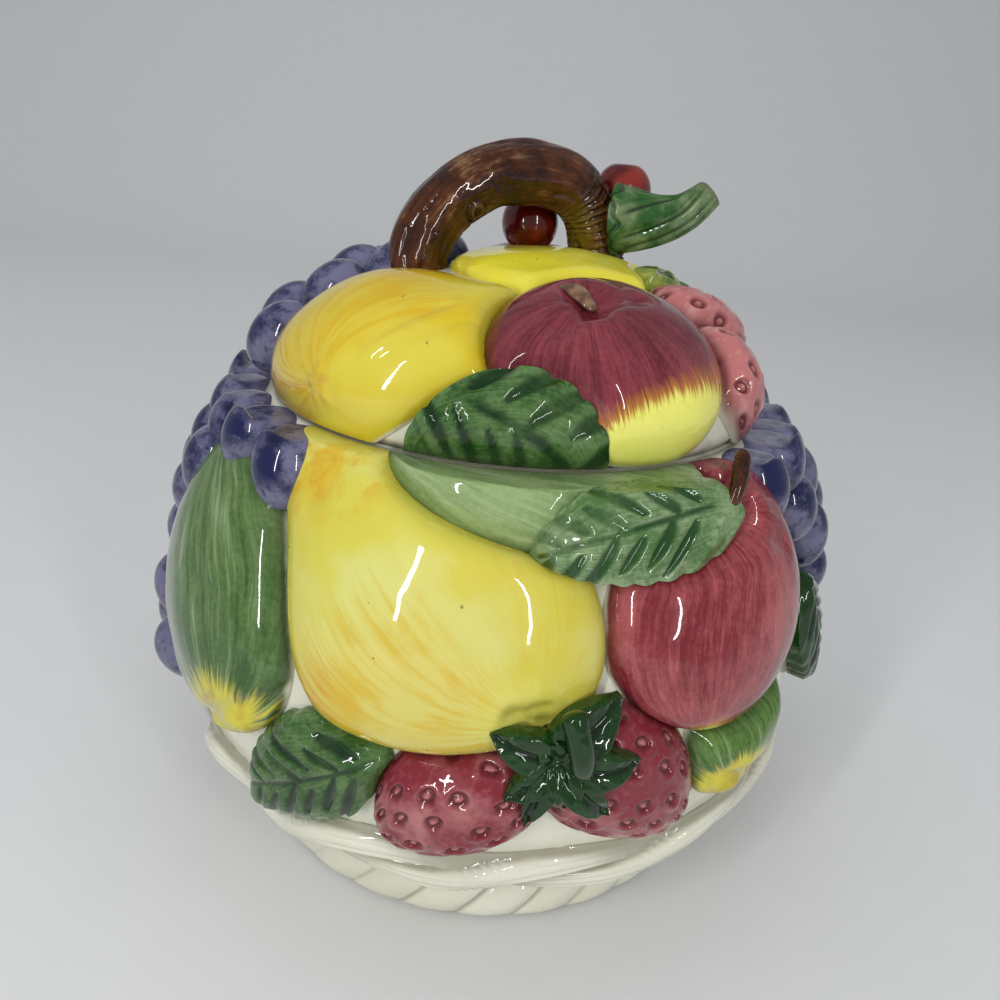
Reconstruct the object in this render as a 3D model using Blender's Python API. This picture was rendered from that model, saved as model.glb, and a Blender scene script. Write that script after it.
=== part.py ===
"""Ceramic fruit cookie jar: a round jar covered in moulded fruit, with a lid lifted by a branch handle.

Metres, +Z up. The origin is the middle of the jar's flat underside, on the surface it stands on.
The side that carries the large pear faces -Y. Azimuth is measured round the jar from that side
towards +X, and elevation up or down from a point on the jar's axis at CENTRE_HEIGHT.

Every fruit and leaf is a moulded relief that lies on the pottery wall. Its shape is made flat, with u
along the fruit, v across it and h out of the wall, and then wrapped onto the turned surface of the jar.
"""
import math
from dataclasses import dataclass

import bmesh
import bpy
import numpy as np
from mathutils import Vector

MM = 0.001

# Clearances: fired pieces keep GAP between them, and the lid's rim hangs loosely in the mouth.
GAP = 0.3 * MM
LID_CLEARANCE = 1.2 * MM

# The turned pottery wall of the jar.
RIM_HEIGHT = 167 * MM
RIM_RADIUS = 86 * MM
BELLY_HEIGHT = 75 * MM
BELLY_RADIUS = 116 * MM
SHOULDER_RADIUS = 90 * MM
ROUNDNESS = 2.2
WALL = 6 * MM
FLOOR = 8 * MM
FLOOR_FILLET = 5 * MM
FACETS = 30
WALL_ROWS = 8
DOME_ROWS = 7

# Elevations are measured from this point on the jar's axis.
CENTRE_SHARE = 0.5988
CENTRE_HEIGHT = RIM_HEIGHT * CENTRE_SHARE

# The twisted rope that the jar stands on, and its seat round the jar's foot.
ROPE_HEIGHT = 17 * MM
ROPE_RADIUS = 91.5 * MM
ROPE_WIDTH = 17 * MM
ROPE_STRANDS = 32
ROPE_GROOVE = 1.8 * MM
ROPE_SLANT = 1.5
ROPE_SWELL = 0.6

# The band of two plaited ribbons above the rope.
BAND_BOTTOM = 30 * MM
BAND_TOP = 55 * MM
BAND_THICKNESS = 4.2 * MM
BAND_CROSSINGS = 20
RIBBON_WIDTH = 11 * MM
BAND_RIPPLE = 1.3 * MM
BAND_BED = 0.25

# The lid: a low dome with a rim that locates it in the mouth.
LID_RISE = 42 * MM
LID_FULLNESS = 2.3
LID_WALL = 6 * MM
LOCATING_DEPTH = 8 * MM
LOCATING_WALL = 4.5 * MM

# The lid's fruit may overhang the rim by this much. Grapes and the apple's stem may rise past the rim
# outside the radius that this leaves for the lid.
LID_OVERHANG = 13.5 * MM
LID_SWEEP = RIM_RADIUS + LID_OVERHANG

# The branch that is the lid's handle, which rises HANDLE_RISE over the middle of the lid. Its feet stand
# at these places. Its axis starts at HANDLE_FOOT, inside the lid's fruit, and is highest at HANDLE_CREST.
HANDLE_RISE = 43 * MM
HANDLE_THICKNESS = 22 * MM
HANDLE_LEFT_FOOT = (-36 * MM, 5 * MM)
HANDLE_RIGHT_FOOT = (29 * MM, 34 * MM)
LID_TOP = RIM_HEIGHT + LID_RISE
HANDLE_CREST = LID_TOP + HANDLE_RISE - HANDLE_THICKNESS / 2
HANDLE_FOOT = RIM_HEIGHT + LID_RISE * 0.72
CHERRY_RADIUS = 11.2 * MM

# Elevations of fruit are read on a scale in degrees on which the seam is always at SEAM_MARK, so that the
# fruit keeps its place to the rim.
SEAM_MARK = 37.92
SEAM_ELEVATION = math.degrees(math.atan2(RIM_HEIGHT - CENTRE_HEIGHT, RIM_RADIUS))

# Grapes.
GRAPE_WIDTH = 23 * MM
GRAPE_LENGTH = 29 * MM
GRAPE_SPACING = 21 * MM
GRAPE_LEAN = 14
GRAPE_WANDER = 1.5

# A relief starts this far inside the wall, where the wall then cuts it off. Its height falls towards its
# ends as its width to the power of FULLNESS.
FOOTING = 3 * MM
FULLNESS = 0.8

# The fruit under a leaf is cut this far above it, so that none of it stands over the leaf.
LEAF_HEADROOM = 15 * MM

# Edges that turn more than this many degrees are shaded sharp.
SHARP_ANGLE = 40

# Glazes: base colour, roughness.
CREAM = ((0.80, 0.79, 0.68), 0.16)
PEAR_YELLOW = ((0.86, 0.70, 0.16), 0.14)
LEMON_YELLOW = ((0.86, 0.74, 0.12), 0.14)
SQUASH_GREEN = ((0.16, 0.27, 0.10), 0.16)
APPLE_RED = ((0.36, 0.05, 0.07), 0.14)
BERRY_RED = ((0.45, 0.07, 0.10), 0.16)
LEAF_GREEN = ((0.06, 0.18, 0.07), 0.15)
DARK_GREEN = ((0.02, 0.09, 0.04), 0.12)
GRAPE_BLUE = ((0.09, 0.09, 0.26), 0.16)
BARK_BROWN = ((0.17, 0.06, 0.03), 0.20)
CHERRY_RED = ((0.33, 0.02, 0.02), 0.10)


def clear_scene():
    """Remove every object of the scene that is open."""
    for item in list(bpy.data.objects):
        bpy.data.objects.remove(item, do_unlink=True)


def glaze(name, look):
    """Return a glazed ceramic material called name."""
    colour, roughness = look
    material = bpy.data.materials.new(name)
    material.use_nodes = True
    shader = material.node_tree.nodes["Principled BSDF"]
    shader.inputs["Base Color"].default_value = (*colour, 1.0)
    shader.inputs["Roughness"].default_value = roughness
    shader.inputs["Metallic"].default_value = 0.0
    shader.inputs["Coat Weight"].default_value = 0.5
    material.diffuse_color = (*colour, 1.0)
    return material


# The jar's turned outline


def jar_radius(height):
    """Return the outer radius of the jar's wall at a height between the rope and the rim."""
    if height < BELLY_HEIGHT:
        below = (BELLY_HEIGHT - height) / (BELLY_HEIGHT - ROPE_HEIGHT)
        return BELLY_RADIUS - (BELLY_RADIUS - SHOULDER_RADIUS) * below ** ROUNDNESS
    above = (height - BELLY_HEIGHT) / (RIM_HEIGHT - BELLY_HEIGHT)
    return BELLY_RADIUS - (BELLY_RADIUS - RIM_RADIUS) * above ** ROUNDNESS


def dome_point(turn, radius, rise, base):
    """Return (radius, height) on a flattened dome, with turn 0 at its edge and 1 at its top."""
    angle = turn * math.pi / 2
    power = 2 / LID_FULLNESS
    return radius * math.cos(angle) ** power, base + rise * math.sin(angle) ** power


def outer_outline(samples=120):
    """Return the (radius, height) points of the jar and the closed lid, from the rope to the top."""
    body = [(jar_radius(h), h) for h in np.linspace(ROPE_HEIGHT, RIM_HEIGHT, samples)]
    dome = [dome_point(t, RIM_RADIUS, LID_RISE, RIM_HEIGHT) for t in np.linspace(0, 1, samples)]
    return body + dome[1:]


OUTLINE = outer_outline()
OUTLINE_ELEVATIONS = [math.atan2(h - CENTRE_HEIGHT, r) for r, h in OUTLINE]
OUTLINE_REACHES = [math.hypot(r, h - CENTRE_HEIGHT) for r, h in OUTLINE]


def reach(elevation):
    """Return the distance from the centre to the pottery surface at an elevation in radians."""
    return float(np.interp(elevation, OUTLINE_ELEVATIONS, OUTLINE_REACHES))


def true_elevation(mark):
    """Return the elevation in radians that a mark on the scale of SEAM_MARK stands for."""
    return math.radians(float(np.interp(mark, (-90, 0, SEAM_MARK, 90), (-90, 0, SEAM_ELEVATION, 90))))


@dataclass(frozen=True)
class Spot:
    """A place on the jar where a relief is centred, in degrees, and the way its u axis points.

    A tilt of 0 points u straight up the jar, and a positive tilt turns it towards +azimuth. The elevation
    is a mark on the scale of SEAM_MARK.
    """

    azimuth: float
    elevation: float
    tilt: float = 0.0

    def axes(self):
        """Return the outward direction and the directions of u and v."""
        azimuth, tilt = math.radians(self.azimuth), math.radians(self.tilt)
        elevation = true_elevation(self.elevation)
        out = Vector((math.cos(elevation) * math.sin(azimuth),
                      -math.cos(elevation) * math.cos(azimuth),
                      math.sin(elevation)))
        right = Vector((math.cos(azimuth), math.sin(azimuth), 0.0))
        up = out.cross(right)
        along = up * math.cos(tilt) + right * math.sin(tilt)
        across = right * math.cos(tilt) - up * math.sin(tilt)
        return out, along, across

    def wrap(self, u, v, h):
        """Return the point of the jar that lies u along, v across and h out from this spot."""
        out, along, across = self.axes()
        span = math.hypot(u, v)
        direction = out
        if span > 0:
            turn = span / reach(true_elevation(self.elevation))
            direction = out * math.cos(turn) + (along * u + across * v) * (math.sin(turn) / span)
        elevation = math.asin(max(-1.0, min(1.0, direction.z)))
        return Vector((0.0, 0.0, CENTRE_HEIGHT)) + direction * (reach(elevation) + h)


# Mesh helpers


def loft(rings, start=None, end=None):
    """Return a closed bmesh through rings of points, ended by the points start and end or by flat caps."""
    bm = bmesh.new()
    rows = [[bm.verts.new(p) for p in ring] for ring in rings]
    count = len(rows[0])
    for low, high in zip(rows, rows[1:]):
        for i in range(count):
            j = (i + 1) % count
            bm.faces.new((low[i], low[j], high[j], high[i]))
    for row, tip in ((rows[0], start), (rows[-1], end)):
        if tip is None:
            bm.faces.new(row)
            continue
        point = bm.verts.new(tip)
        for i in range(count):
            bm.faces.new((row[i], row[(i + 1) % count], point))
    return finished(bm)


def finished(bm):
    """Return bm as triangles that all face out."""
    bmesh.ops.recalc_face_normals(bm, faces=bm.faces)
    bmesh.ops.triangulate(bm, faces=bm.faces, quad_method="FIXED", ngon_method="EAR_CLIP")
    return bm


def ring_solid(sections):
    """Return a closed bmesh that joins a loop of equal sections into a ring."""
    bm = bmesh.new()
    rows = [[bm.verts.new(p) for p in section] for section in sections]
    count = len(rows[0])
    for k, row in enumerate(rows):
        after = rows[(k + 1) % len(rows)]
        for i in range(count):
            j = (i + 1) % count
            bm.faces.new((row[i], row[j], after[j], after[i]))
    return finished(bm)


def turned(outline, facets=FACETS):
    """Return a closed bmesh turned about the jar's axis from a closed (radius, height) outline.

    The outline starts and ends on the axis.
    """
    rings = []
    for radius, height in outline[1:-1]:
        angles = (2 * math.pi * k / facets for k in range(facets))
        rings.append([Vector((radius * math.cos(a), radius * math.sin(a), height)) for a in angles])
    return loft(rings, Vector((0, 0, outline[0][1])), Vector((0, 0, outline[-1][1])))


def add_piece(name, bm, material):
    """Make an object called name from bm, shaded smooth but for its sharp edges."""
    mesh = bpy.data.meshes.new(name)
    bm.to_mesh(mesh)
    bm.free()
    mesh.materials.append(material)
    mesh.shade_smooth()
    mesh.set_sharp_from_angle(angle=math.radians(SHARP_ANGLE))
    piece = bpy.data.objects.new(name, mesh)
    bpy.context.collection.objects.link(piece)
    return piece


def bounds(piece):
    """Return the lowest and highest corner of a piece."""
    points = np.array([v.co[:] for v in piece.data.vertices])
    return points.min(axis=0), points.max(axis=0)


def may_touch(piece, other):
    """Tell whether the boxes round two pieces meet."""
    low, high = bounds(piece)
    other_low, other_high = bounds(other)
    return bool((low <= other_high).all() and (other_low <= high).all())


def keep_main_body(mesh):
    """Drop the chips that a cut leaves beside the main body of a mesh."""
    bm = bmesh.new()
    bm.from_mesh(mesh)
    bodies = []
    unseen = set(bm.faces)
    while unseen:
        body = []
        front = [unseen.pop()]
        while front:
            face = front.pop()
            body.append(face)
            near = {other for edge in face.edges for other in edge.link_faces} & unseen
            unseen -= near
            front.extend(near)
        bodies.append(body)
    bodies.sort(key=lambda body: sum(face.calc_area() for face in body))
    chips = [face for body in bodies[:-1] for face in body]
    bmesh.ops.delete(bm, geom=chips, context="FACES")
    bm.to_mesh(mesh)
    bm.free()


def combine(piece, others, operation):
    """Join others to piece or cut them out of it, and keep the main body that results."""
    touching = [other for other in others if operation == "UNION" or may_touch(piece, other)]
    for other in touching:
        modifier = piece.modifiers.new(operation.title(), "BOOLEAN")
        modifier.operation = operation
        modifier.solver = "EXACT"
        modifier.object = other
    if touching:
        graph = bpy.context.evaluated_depsgraph_get()
        mesh = bpy.data.meshes.new_from_object(piece.evaluated_get(graph))
        piece.modifiers.clear()
        piece.data = mesh
        keep_main_body(mesh)
        mesh.set_sharp_from_angle(angle=math.radians(SHARP_ANGLE))


def hide(tool):
    """Mark an object as a cutting solid, which is no part of the jar."""
    tool.hide_render = True
    tool.display_type = "WIRE"


def add_tool(name, bm):
    """Make a cutting solid from bm."""
    mesh = bpy.data.meshes.new(name)
    bm.to_mesh(mesh)
    bm.free()
    tool = bpy.data.objects.new(name, mesh)
    bpy.context.collection.objects.link(tool)
    hide(tool)
    return tool


# Relief shapes


@dataclass(frozen=True)
class Outline:
    """A fruit's half width along its length, which rises as t**rise and closes as (1-t)**close.

    A neck above 0 draws the far part in to that share of the width, as on a pear.
    """

    rise: float
    close: float
    neck: float = 0.0
    neck_start: float = 0.36
    neck_end: float = 0.86

    def width(self, t):
        """Return the half width at t, as a share of the greatest one."""
        peak = self.rise / (self.rise + self.close)
        share = (t / peak) ** self.rise * ((1 - t) / (1 - peak)) ** self.close
        if self.neck:
            drawn = min(1.0, max(0.0, (t - self.neck_start) / (self.neck_end - self.neck_start)))
            share *= 1 - (1 - self.neck) * (1 - math.cos(math.pi * drawn)) / 2
        return share


APPLE_OUTLINE = Outline(rise=0.44, close=0.44)
PEAR_OUTLINE = Outline(rise=0.44, close=0.30, neck=0.48)
SQUASH_OUTLINE = Outline(rise=0.42, close=0.52)
BERRY_OUTLINE = Outline(rise=0.42, close=0.62)
LEMON_OUTLINE = Outline(rise=0.56, close=0.56)
LEAF_OUTLINE = Outline(rise=0.62, close=0.72)


@dataclass(frozen=True)
class Fruit:
    """A half round fruit lying on the wall."""

    name: str
    spot: Spot
    length: float
    width: float
    height: float
    outline: Outline
    look: tuple
    stations: int = 7
    across: int = 6
    passes_rim = False

    def solid(self, grow=0.0):
        """Return the fruit as a closed solid, grown by grow on every side."""
        length = self.length + 2 * grow
        floor = -FOOTING - grow
        rings = []
        for i in range(1, self.stations):
            t = (1 - math.cos(math.pi * i / self.stations)) / 2
            share = self.outline.width(t)
            half = self.width / 2 * share + grow
            top = self.height * share ** FULLNESS + grow
            u = (t - 0.5) * length
            angles = (math.pi * k / self.across for k in range(self.across + 1))
            over = [(half * math.cos(a), top * math.sin(a)) for a in angles]
            under = [(-half, floor), (half, floor)]
            rings.append([self.spot.wrap(u, v, h) for v, h in over + under])
        start = self.spot.wrap(-length / 2, 0, floor / 2)
        end = self.spot.wrap(length / 2, 0, floor / 2)
        return loft(rings, start, end)


@dataclass(frozen=True)
class Leaf:
    """A leaf lying on the wall, with a pressed midrib, side veins and a toothed edge."""

    name: str
    spot: Spot
    length: float
    width: float
    edge_height: float
    crown: float
    look: tuple
    outline: Outline = LEAF_OUTLINE
    stations: int = 9
    vein: float = 1.2 * MM
    tooth: float = 0.05
    passes_rim = False

    def solid(self, grow=0.0):
        """Return the leaf as a closed solid, grown by grow on every side and LEAF_HEADROOM upwards."""
        length = self.length + 2 * grow
        floor = -FOOTING - grow
        headroom = LEAF_HEADROOM if grow else 0.0
        rings = []
        for i in range(1, self.stations):
            t = i / self.stations
            odd = i % 2
            share = self.outline.width(t) * (1 + self.tooth * (1 if odd else -1))
            half = self.width / 2 * share + grow
            u = (t - 0.5) * length
            edge = self.edge_height + grow + headroom
            crown = edge + self.crown * min(1.0, share)
            groove = self.vein * odd
            over = [(half, edge), (half / 2, crown - groove), (0.0, crown - self.vein),
                    (-half / 2, crown - groove), (-half, edge)]
            under = [(-half, floor), (half, floor)]
            rings.append([self.spot.wrap(u, v, h) for v, h in over + under])
        middle = self.edge_height / 2
        start = self.spot.wrap(-length / 2, 0, middle)
        end = self.spot.wrap(length / 2, 0, middle)
        return loft(rings, start, end)


@dataclass(frozen=True)
class Calyx:
    """The star of small leaves on top of a pair of strawberries."""

    name: str
    spot: Spot
    radius: float
    height: float
    look: tuple
    lobes: int = 7
    turn: float = -9.0
    waist: float = 0.42
    tip_drop: float = 3.5 * MM
    passes_rim = False

    def solid(self, grow=0.0):
        """Return the star as a closed solid, grown by grow on every side."""
        floor = -FOOTING - grow
        steps = self.lobes * 4

        def ring(scale, height_at_tip, height_at_waist):
            points = []
            for k in range(steps):
                angle = 2 * math.pi * k / steps
                lobe = abs(math.cos(self.lobes * angle / 2)) ** 1.4
                radius = (self.radius * (self.waist + (1 - self.waist) * lobe) + grow) * scale
                height = height_at_waist + (height_at_tip - height_at_waist) * lobe
                bearing = angle + math.radians(self.turn)
                points.append(self.spot.wrap(radius * math.cos(bearing), radius * math.sin(bearing), height))
            return points

        top = self.height + grow + (LEAF_HEADROOM if grow else 0.0)
        edge = top - self.tip_drop
        rings = [ring(0.5, top, top - MM), ring(1.0, edge, edge), ring(1.0, floor, floor)]
        return loft(rings, self.spot.wrap(0, 0, top), self.spot.wrap(0, 0, floor))


def smooth_path(points, steps):
    """Return points of a smooth curve that passes through the given points, steps to each span."""
    knots = [points[0], *points, points[-1]]
    path = []
    for a, b, c, d in zip(knots, knots[1:], knots[2:], knots[3:]):
        for k in range(steps):
            t = k / steps
            path.append(0.5 * (2 * b + (c - a) * t + (2 * a - 5 * b + 4 * c - d) * t ** 2
                               + (3 * b - a - 3 * c + d) * t ** 3))
    path.append(points[-1])
    return path


def tube(path, radii, sides, flatness=1.0, ribs=0.0):
    """Return a closed tube along path, with a radius at each point and rings raised by ribs."""
    rings = []
    side = Vector((0, 0, 1))
    for k, point in enumerate(path):
        ahead = path[min(k + 1, len(path) - 1)] - path[max(k - 1, 0)]
        ahead.normalize()
        side = (side - ahead * side.dot(ahead)).normalized()
        other = ahead.cross(side)
        radius = radii[k] + ribs * (k % 2)
        turns = (2 * math.pi * n / sides for n in range(sides))
        rings.append([point + (side * math.cos(a) + other * (math.sin(a) * flatness)) * radius for a in turns])
    return loft(rings)


@dataclass(frozen=True)
class Branch:
    """A tapering tube through world points: the handle, its shoot or a stem."""

    name: str
    points: tuple
    radii: tuple
    look: tuple
    steps: int = 3
    sides: int = 8
    flatness: float = 1.0
    ribs: float = 0.0
    passes_rim = True

    def solid(self, grow=0.0):
        """Return the branch as a closed solid, grown by grow on every side."""
        path = smooth_path([Vector(p) for p in self.points], self.steps)
        places = np.linspace(0, 1, len(path))
        radii = np.interp(places, np.linspace(0, 1, len(self.radii)), self.radii) + grow
        first = (path[0] - path[1]).normalized() * grow
        last = (path[-1] - path[-2]).normalized() * grow
        path[0] = path[0] + first
        path[-1] = path[-1] + last
        return tube(path, radii, self.sides, self.flatness, self.ribs)


@dataclass(frozen=True)
class Cherry:
    """A round cherry."""

    name: str
    centre: tuple
    radius: float
    look: tuple
    passes_rim = False

    def solid(self, grow=0.0):
        """Return the cherry as a closed solid, grown by grow on every side."""
        bm = bmesh.new()
        bmesh.ops.create_uvsphere(bm, u_segments=10, v_segments=7, radius=self.radius + grow)
        bmesh.ops.translate(bm, vec=Vector(self.centre), verts=bm.verts)
        return finished(bm)


@dataclass(frozen=True)
class GrapeBunch:
    """Rows of grapes pushed into one another, each row (elevation, first azimuth, count)."""

    name: str
    rows: tuple
    look: tuple
    centre_height: float = 3 * MM
    passes_rim = True

    def spots(self):
        """Return the spot of each grape, with neighbours a grape's spacing apart."""
        places = []
        for elevation, first, count in self.rows:
            angle = true_elevation(elevation)
            step = math.degrees(GRAPE_SPACING / (reach(angle) * math.cos(angle)))
            step = math.copysign(step, first)
            for k in range(count):
                lean = GRAPE_LEAN * math.sin(2.4 * k + elevation)
                wander = GRAPE_WANDER * math.sin(1.9 * k)
                places.append(Spot(first + step * k, elevation + wander, 180 + lean))
        return places

    def grapes(self, grow=0.0):
        """Return each grape as a closed solid, grown by grow on every side."""
        wide = GRAPE_WIDTH / 2 + grow
        long = GRAPE_LENGTH / 2 + grow
        solids = []
        for spot in self.spots():
            out, along, across = spot.axes()
            centre = spot.wrap(0, 0, self.centre_height)
            bm = bmesh.new()
            bmesh.ops.create_uvsphere(bm, u_segments=6, v_segments=4, radius=1.0)
            for vert in bm.verts:
                x, y, z = vert.co
                vert.co = centre + (out * x + across * y) * wide + along * (z * long)
            solids.append(finished(bm))
        return solids


# The pottery


def wall_heights():
    """Return the heights at which the wall is measured, from the rope up to the rim."""
    return np.linspace(ROPE_HEIGHT + GAP, RIM_HEIGHT, WALL_ROWS)


def jar_shell():
    """Return the hollow jar: flat foot, round belly, open mouth."""
    seat = ROPE_HEIGHT + GAP
    foot = ROPE_RADIUS - ROPE_WIDTH - GAP
    inner_foot = foot - WALL
    ledge = seat + WALL
    outside = [(jar_radius(h), h) for h in wall_heights()]
    inside = [(jar_radius(h) - WALL, h) for h in np.linspace(RIM_HEIGHT, ledge + GAP, WALL_ROWS - 3)]
    well = [(inner_foot + FLOOR_FILLET, ledge), (inner_foot, ledge - FLOOR_FILLET),
            (inner_foot, FLOOR + FLOOR_FILLET), (inner_foot - FLOOR_FILLET, FLOOR)]
    return turned([(0, 0), (foot, 0), (foot, seat), *outside, *inside, *well, (0, FLOOR)])


def rope_foot():
    """Return the twisted rope ring under the jar, flat where it stands and where it carries the jar."""
    inner = ROPE_RADIUS - ROPE_WIDTH
    middle = ROPE_HEIGHT / 2
    bulge = ROPE_HEIGHT / 2
    core = ROPE_RADIUS - bulge
    sections = []
    steps = ROPE_STRANDS * 3
    for k in range(steps):
        azimuth = 2 * math.pi * k / steps
        section = [(inner, 0.0)]
        for turn in (-0.5, -0.2, 0.2, 0.5):
            angle = turn * math.pi
            phase = ROPE_STRANDS * azimuth + ROPE_SLANT * angle * 2
            out = bulge - ROPE_GROOVE * (0.5 - 0.5 * math.cos(phase))
            swell = abs(math.cos(angle)) ** ROPE_SWELL
            section.append((core + out * swell, middle + middle * math.sin(angle)))
        section.append((inner, ROPE_HEIGHT))
        sections.append([Vector((r * math.sin(azimuth), -r * math.cos(azimuth), z)) for r, z in section])
    return ring_solid(sections)


def band_relief(azimuth, height):
    """Return how far the two plaited ribbons stand out of the wall at a place on the band."""
    middle = (BAND_BOTTOM + BAND_TOP) / 2
    swing = (BAND_TOP - BAND_BOTTOM - RIBBON_WIDTH) / 2
    wave = BAND_CROSSINGS / 2 * azimuth
    relief = BAND_BED
    for sign in (1, -1):
        line = middle + sign * swing * math.sin(wave)
        over = 0.78 + 0.22 * sign * math.cos(wave) * (1 if math.cos(2 * wave) > -0.5 else 0.5)
        off = abs(height - line) / (RIBBON_WIDTH / 2)
        if off < 1:
            relief = max(relief, over * math.sqrt(1 - off ** 2.5))
    return BAND_THICKNESS * relief


def plaited_band():
    """Return the plaited ribbon band that overhangs the rope, two steps to each facet of the wall."""
    steps = FACETS * 2
    rows = 5
    heights = np.linspace(0, 1, rows + 1)
    sections = []
    for k in range(steps):
        azimuth = 2 * math.pi * k / steps
        ripple = BAND_RIPPLE * math.cos(BAND_CROSSINGS * azimuth)
        bottom = BAND_BOTTOM + ripple
        top = BAND_TOP - ripple
        section = []
        for share in heights:
            z = bottom + (top - bottom) * share
            section.append((jar_radius(z) + GAP + band_relief(azimuth, z), z))
        behind = [z for z in wall_heights()[::-1] if bottom < z < top]
        for z in (top, *behind, bottom):
            section.append((jar_radius(z) + GAP, z))
        sections.append([Vector((r * math.sin(azimuth), -r * math.cos(azimuth), z)) for r, z in section])
    return ring_solid(sections)


def lid_shell():
    """Return the hollow lid: a dome, a seat on the jar's rim and a locating rim inside the mouth."""
    seat = RIM_HEIGHT + GAP
    outer_rim = RIM_RADIUS - WALL - LID_CLEARANCE
    inner_rim = outer_rim - LOCATING_WALL
    low = seat - LOCATING_DEPTH
    outside = [dome_point(t, RIM_RADIUS, LID_RISE, seat) for t in np.linspace(0, 1, DOME_ROWS)[:-1]]
    rise = LID_RISE - LID_WALL
    inside = [dome_point(t, inner_rim, rise, seat) for t in np.linspace(0, 1, DOME_ROWS - 3)[:-1]]
    outline = [(0, seat + rise), *reversed(inside), (inner_rim, low), (outer_rim, low), (outer_rim, seat),
               *outside, (0, seat + LID_RISE)]
    return turned(outline)


def wall_tool(grow):
    """Return the space that the pottery takes, grown by grow, for seating what lies on it."""
    sides = [(jar_radius(h) + grow, h) for h in wall_heights()[:-1]]
    rim = (RIM_RADIUS + grow, RIM_HEIGHT + GAP / 2)
    turns = np.linspace(0, 1, DOME_ROWS)[1:]
    dome = [dome_point(t, RIM_RADIUS + grow, LID_RISE + grow, RIM_HEIGHT + GAP) for t in turns]
    return turned([(0, 0), (SHOULDER_RADIUS / 2, 0), *sides, rim, *dome[:-1], (0, dome[-1][1])])


def disc_tool(height, radius):
    """Return all the space above a height, out to a radius."""
    top = HANDLE_CREST * 2
    return turned([(0, height), (radius, height), (radius, top), (0, top)])


def jar_space_tool():
    """Return the space below the lid's seat, which the fruit on the lid keeps out of."""
    wide = BELLY_RADIUS * 2
    return turned([(0, 0), (wide, 0), (wide, RIM_HEIGHT + GAP), (0, RIM_HEIGHT + GAP)])


# What lies on the jar, from the piece on top to the one underneath

APPLE_STEM_SPOT = Spot(38, 30, 18)
BERRY_STEM_SPOT = Spot(11, -3, 0)

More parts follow.
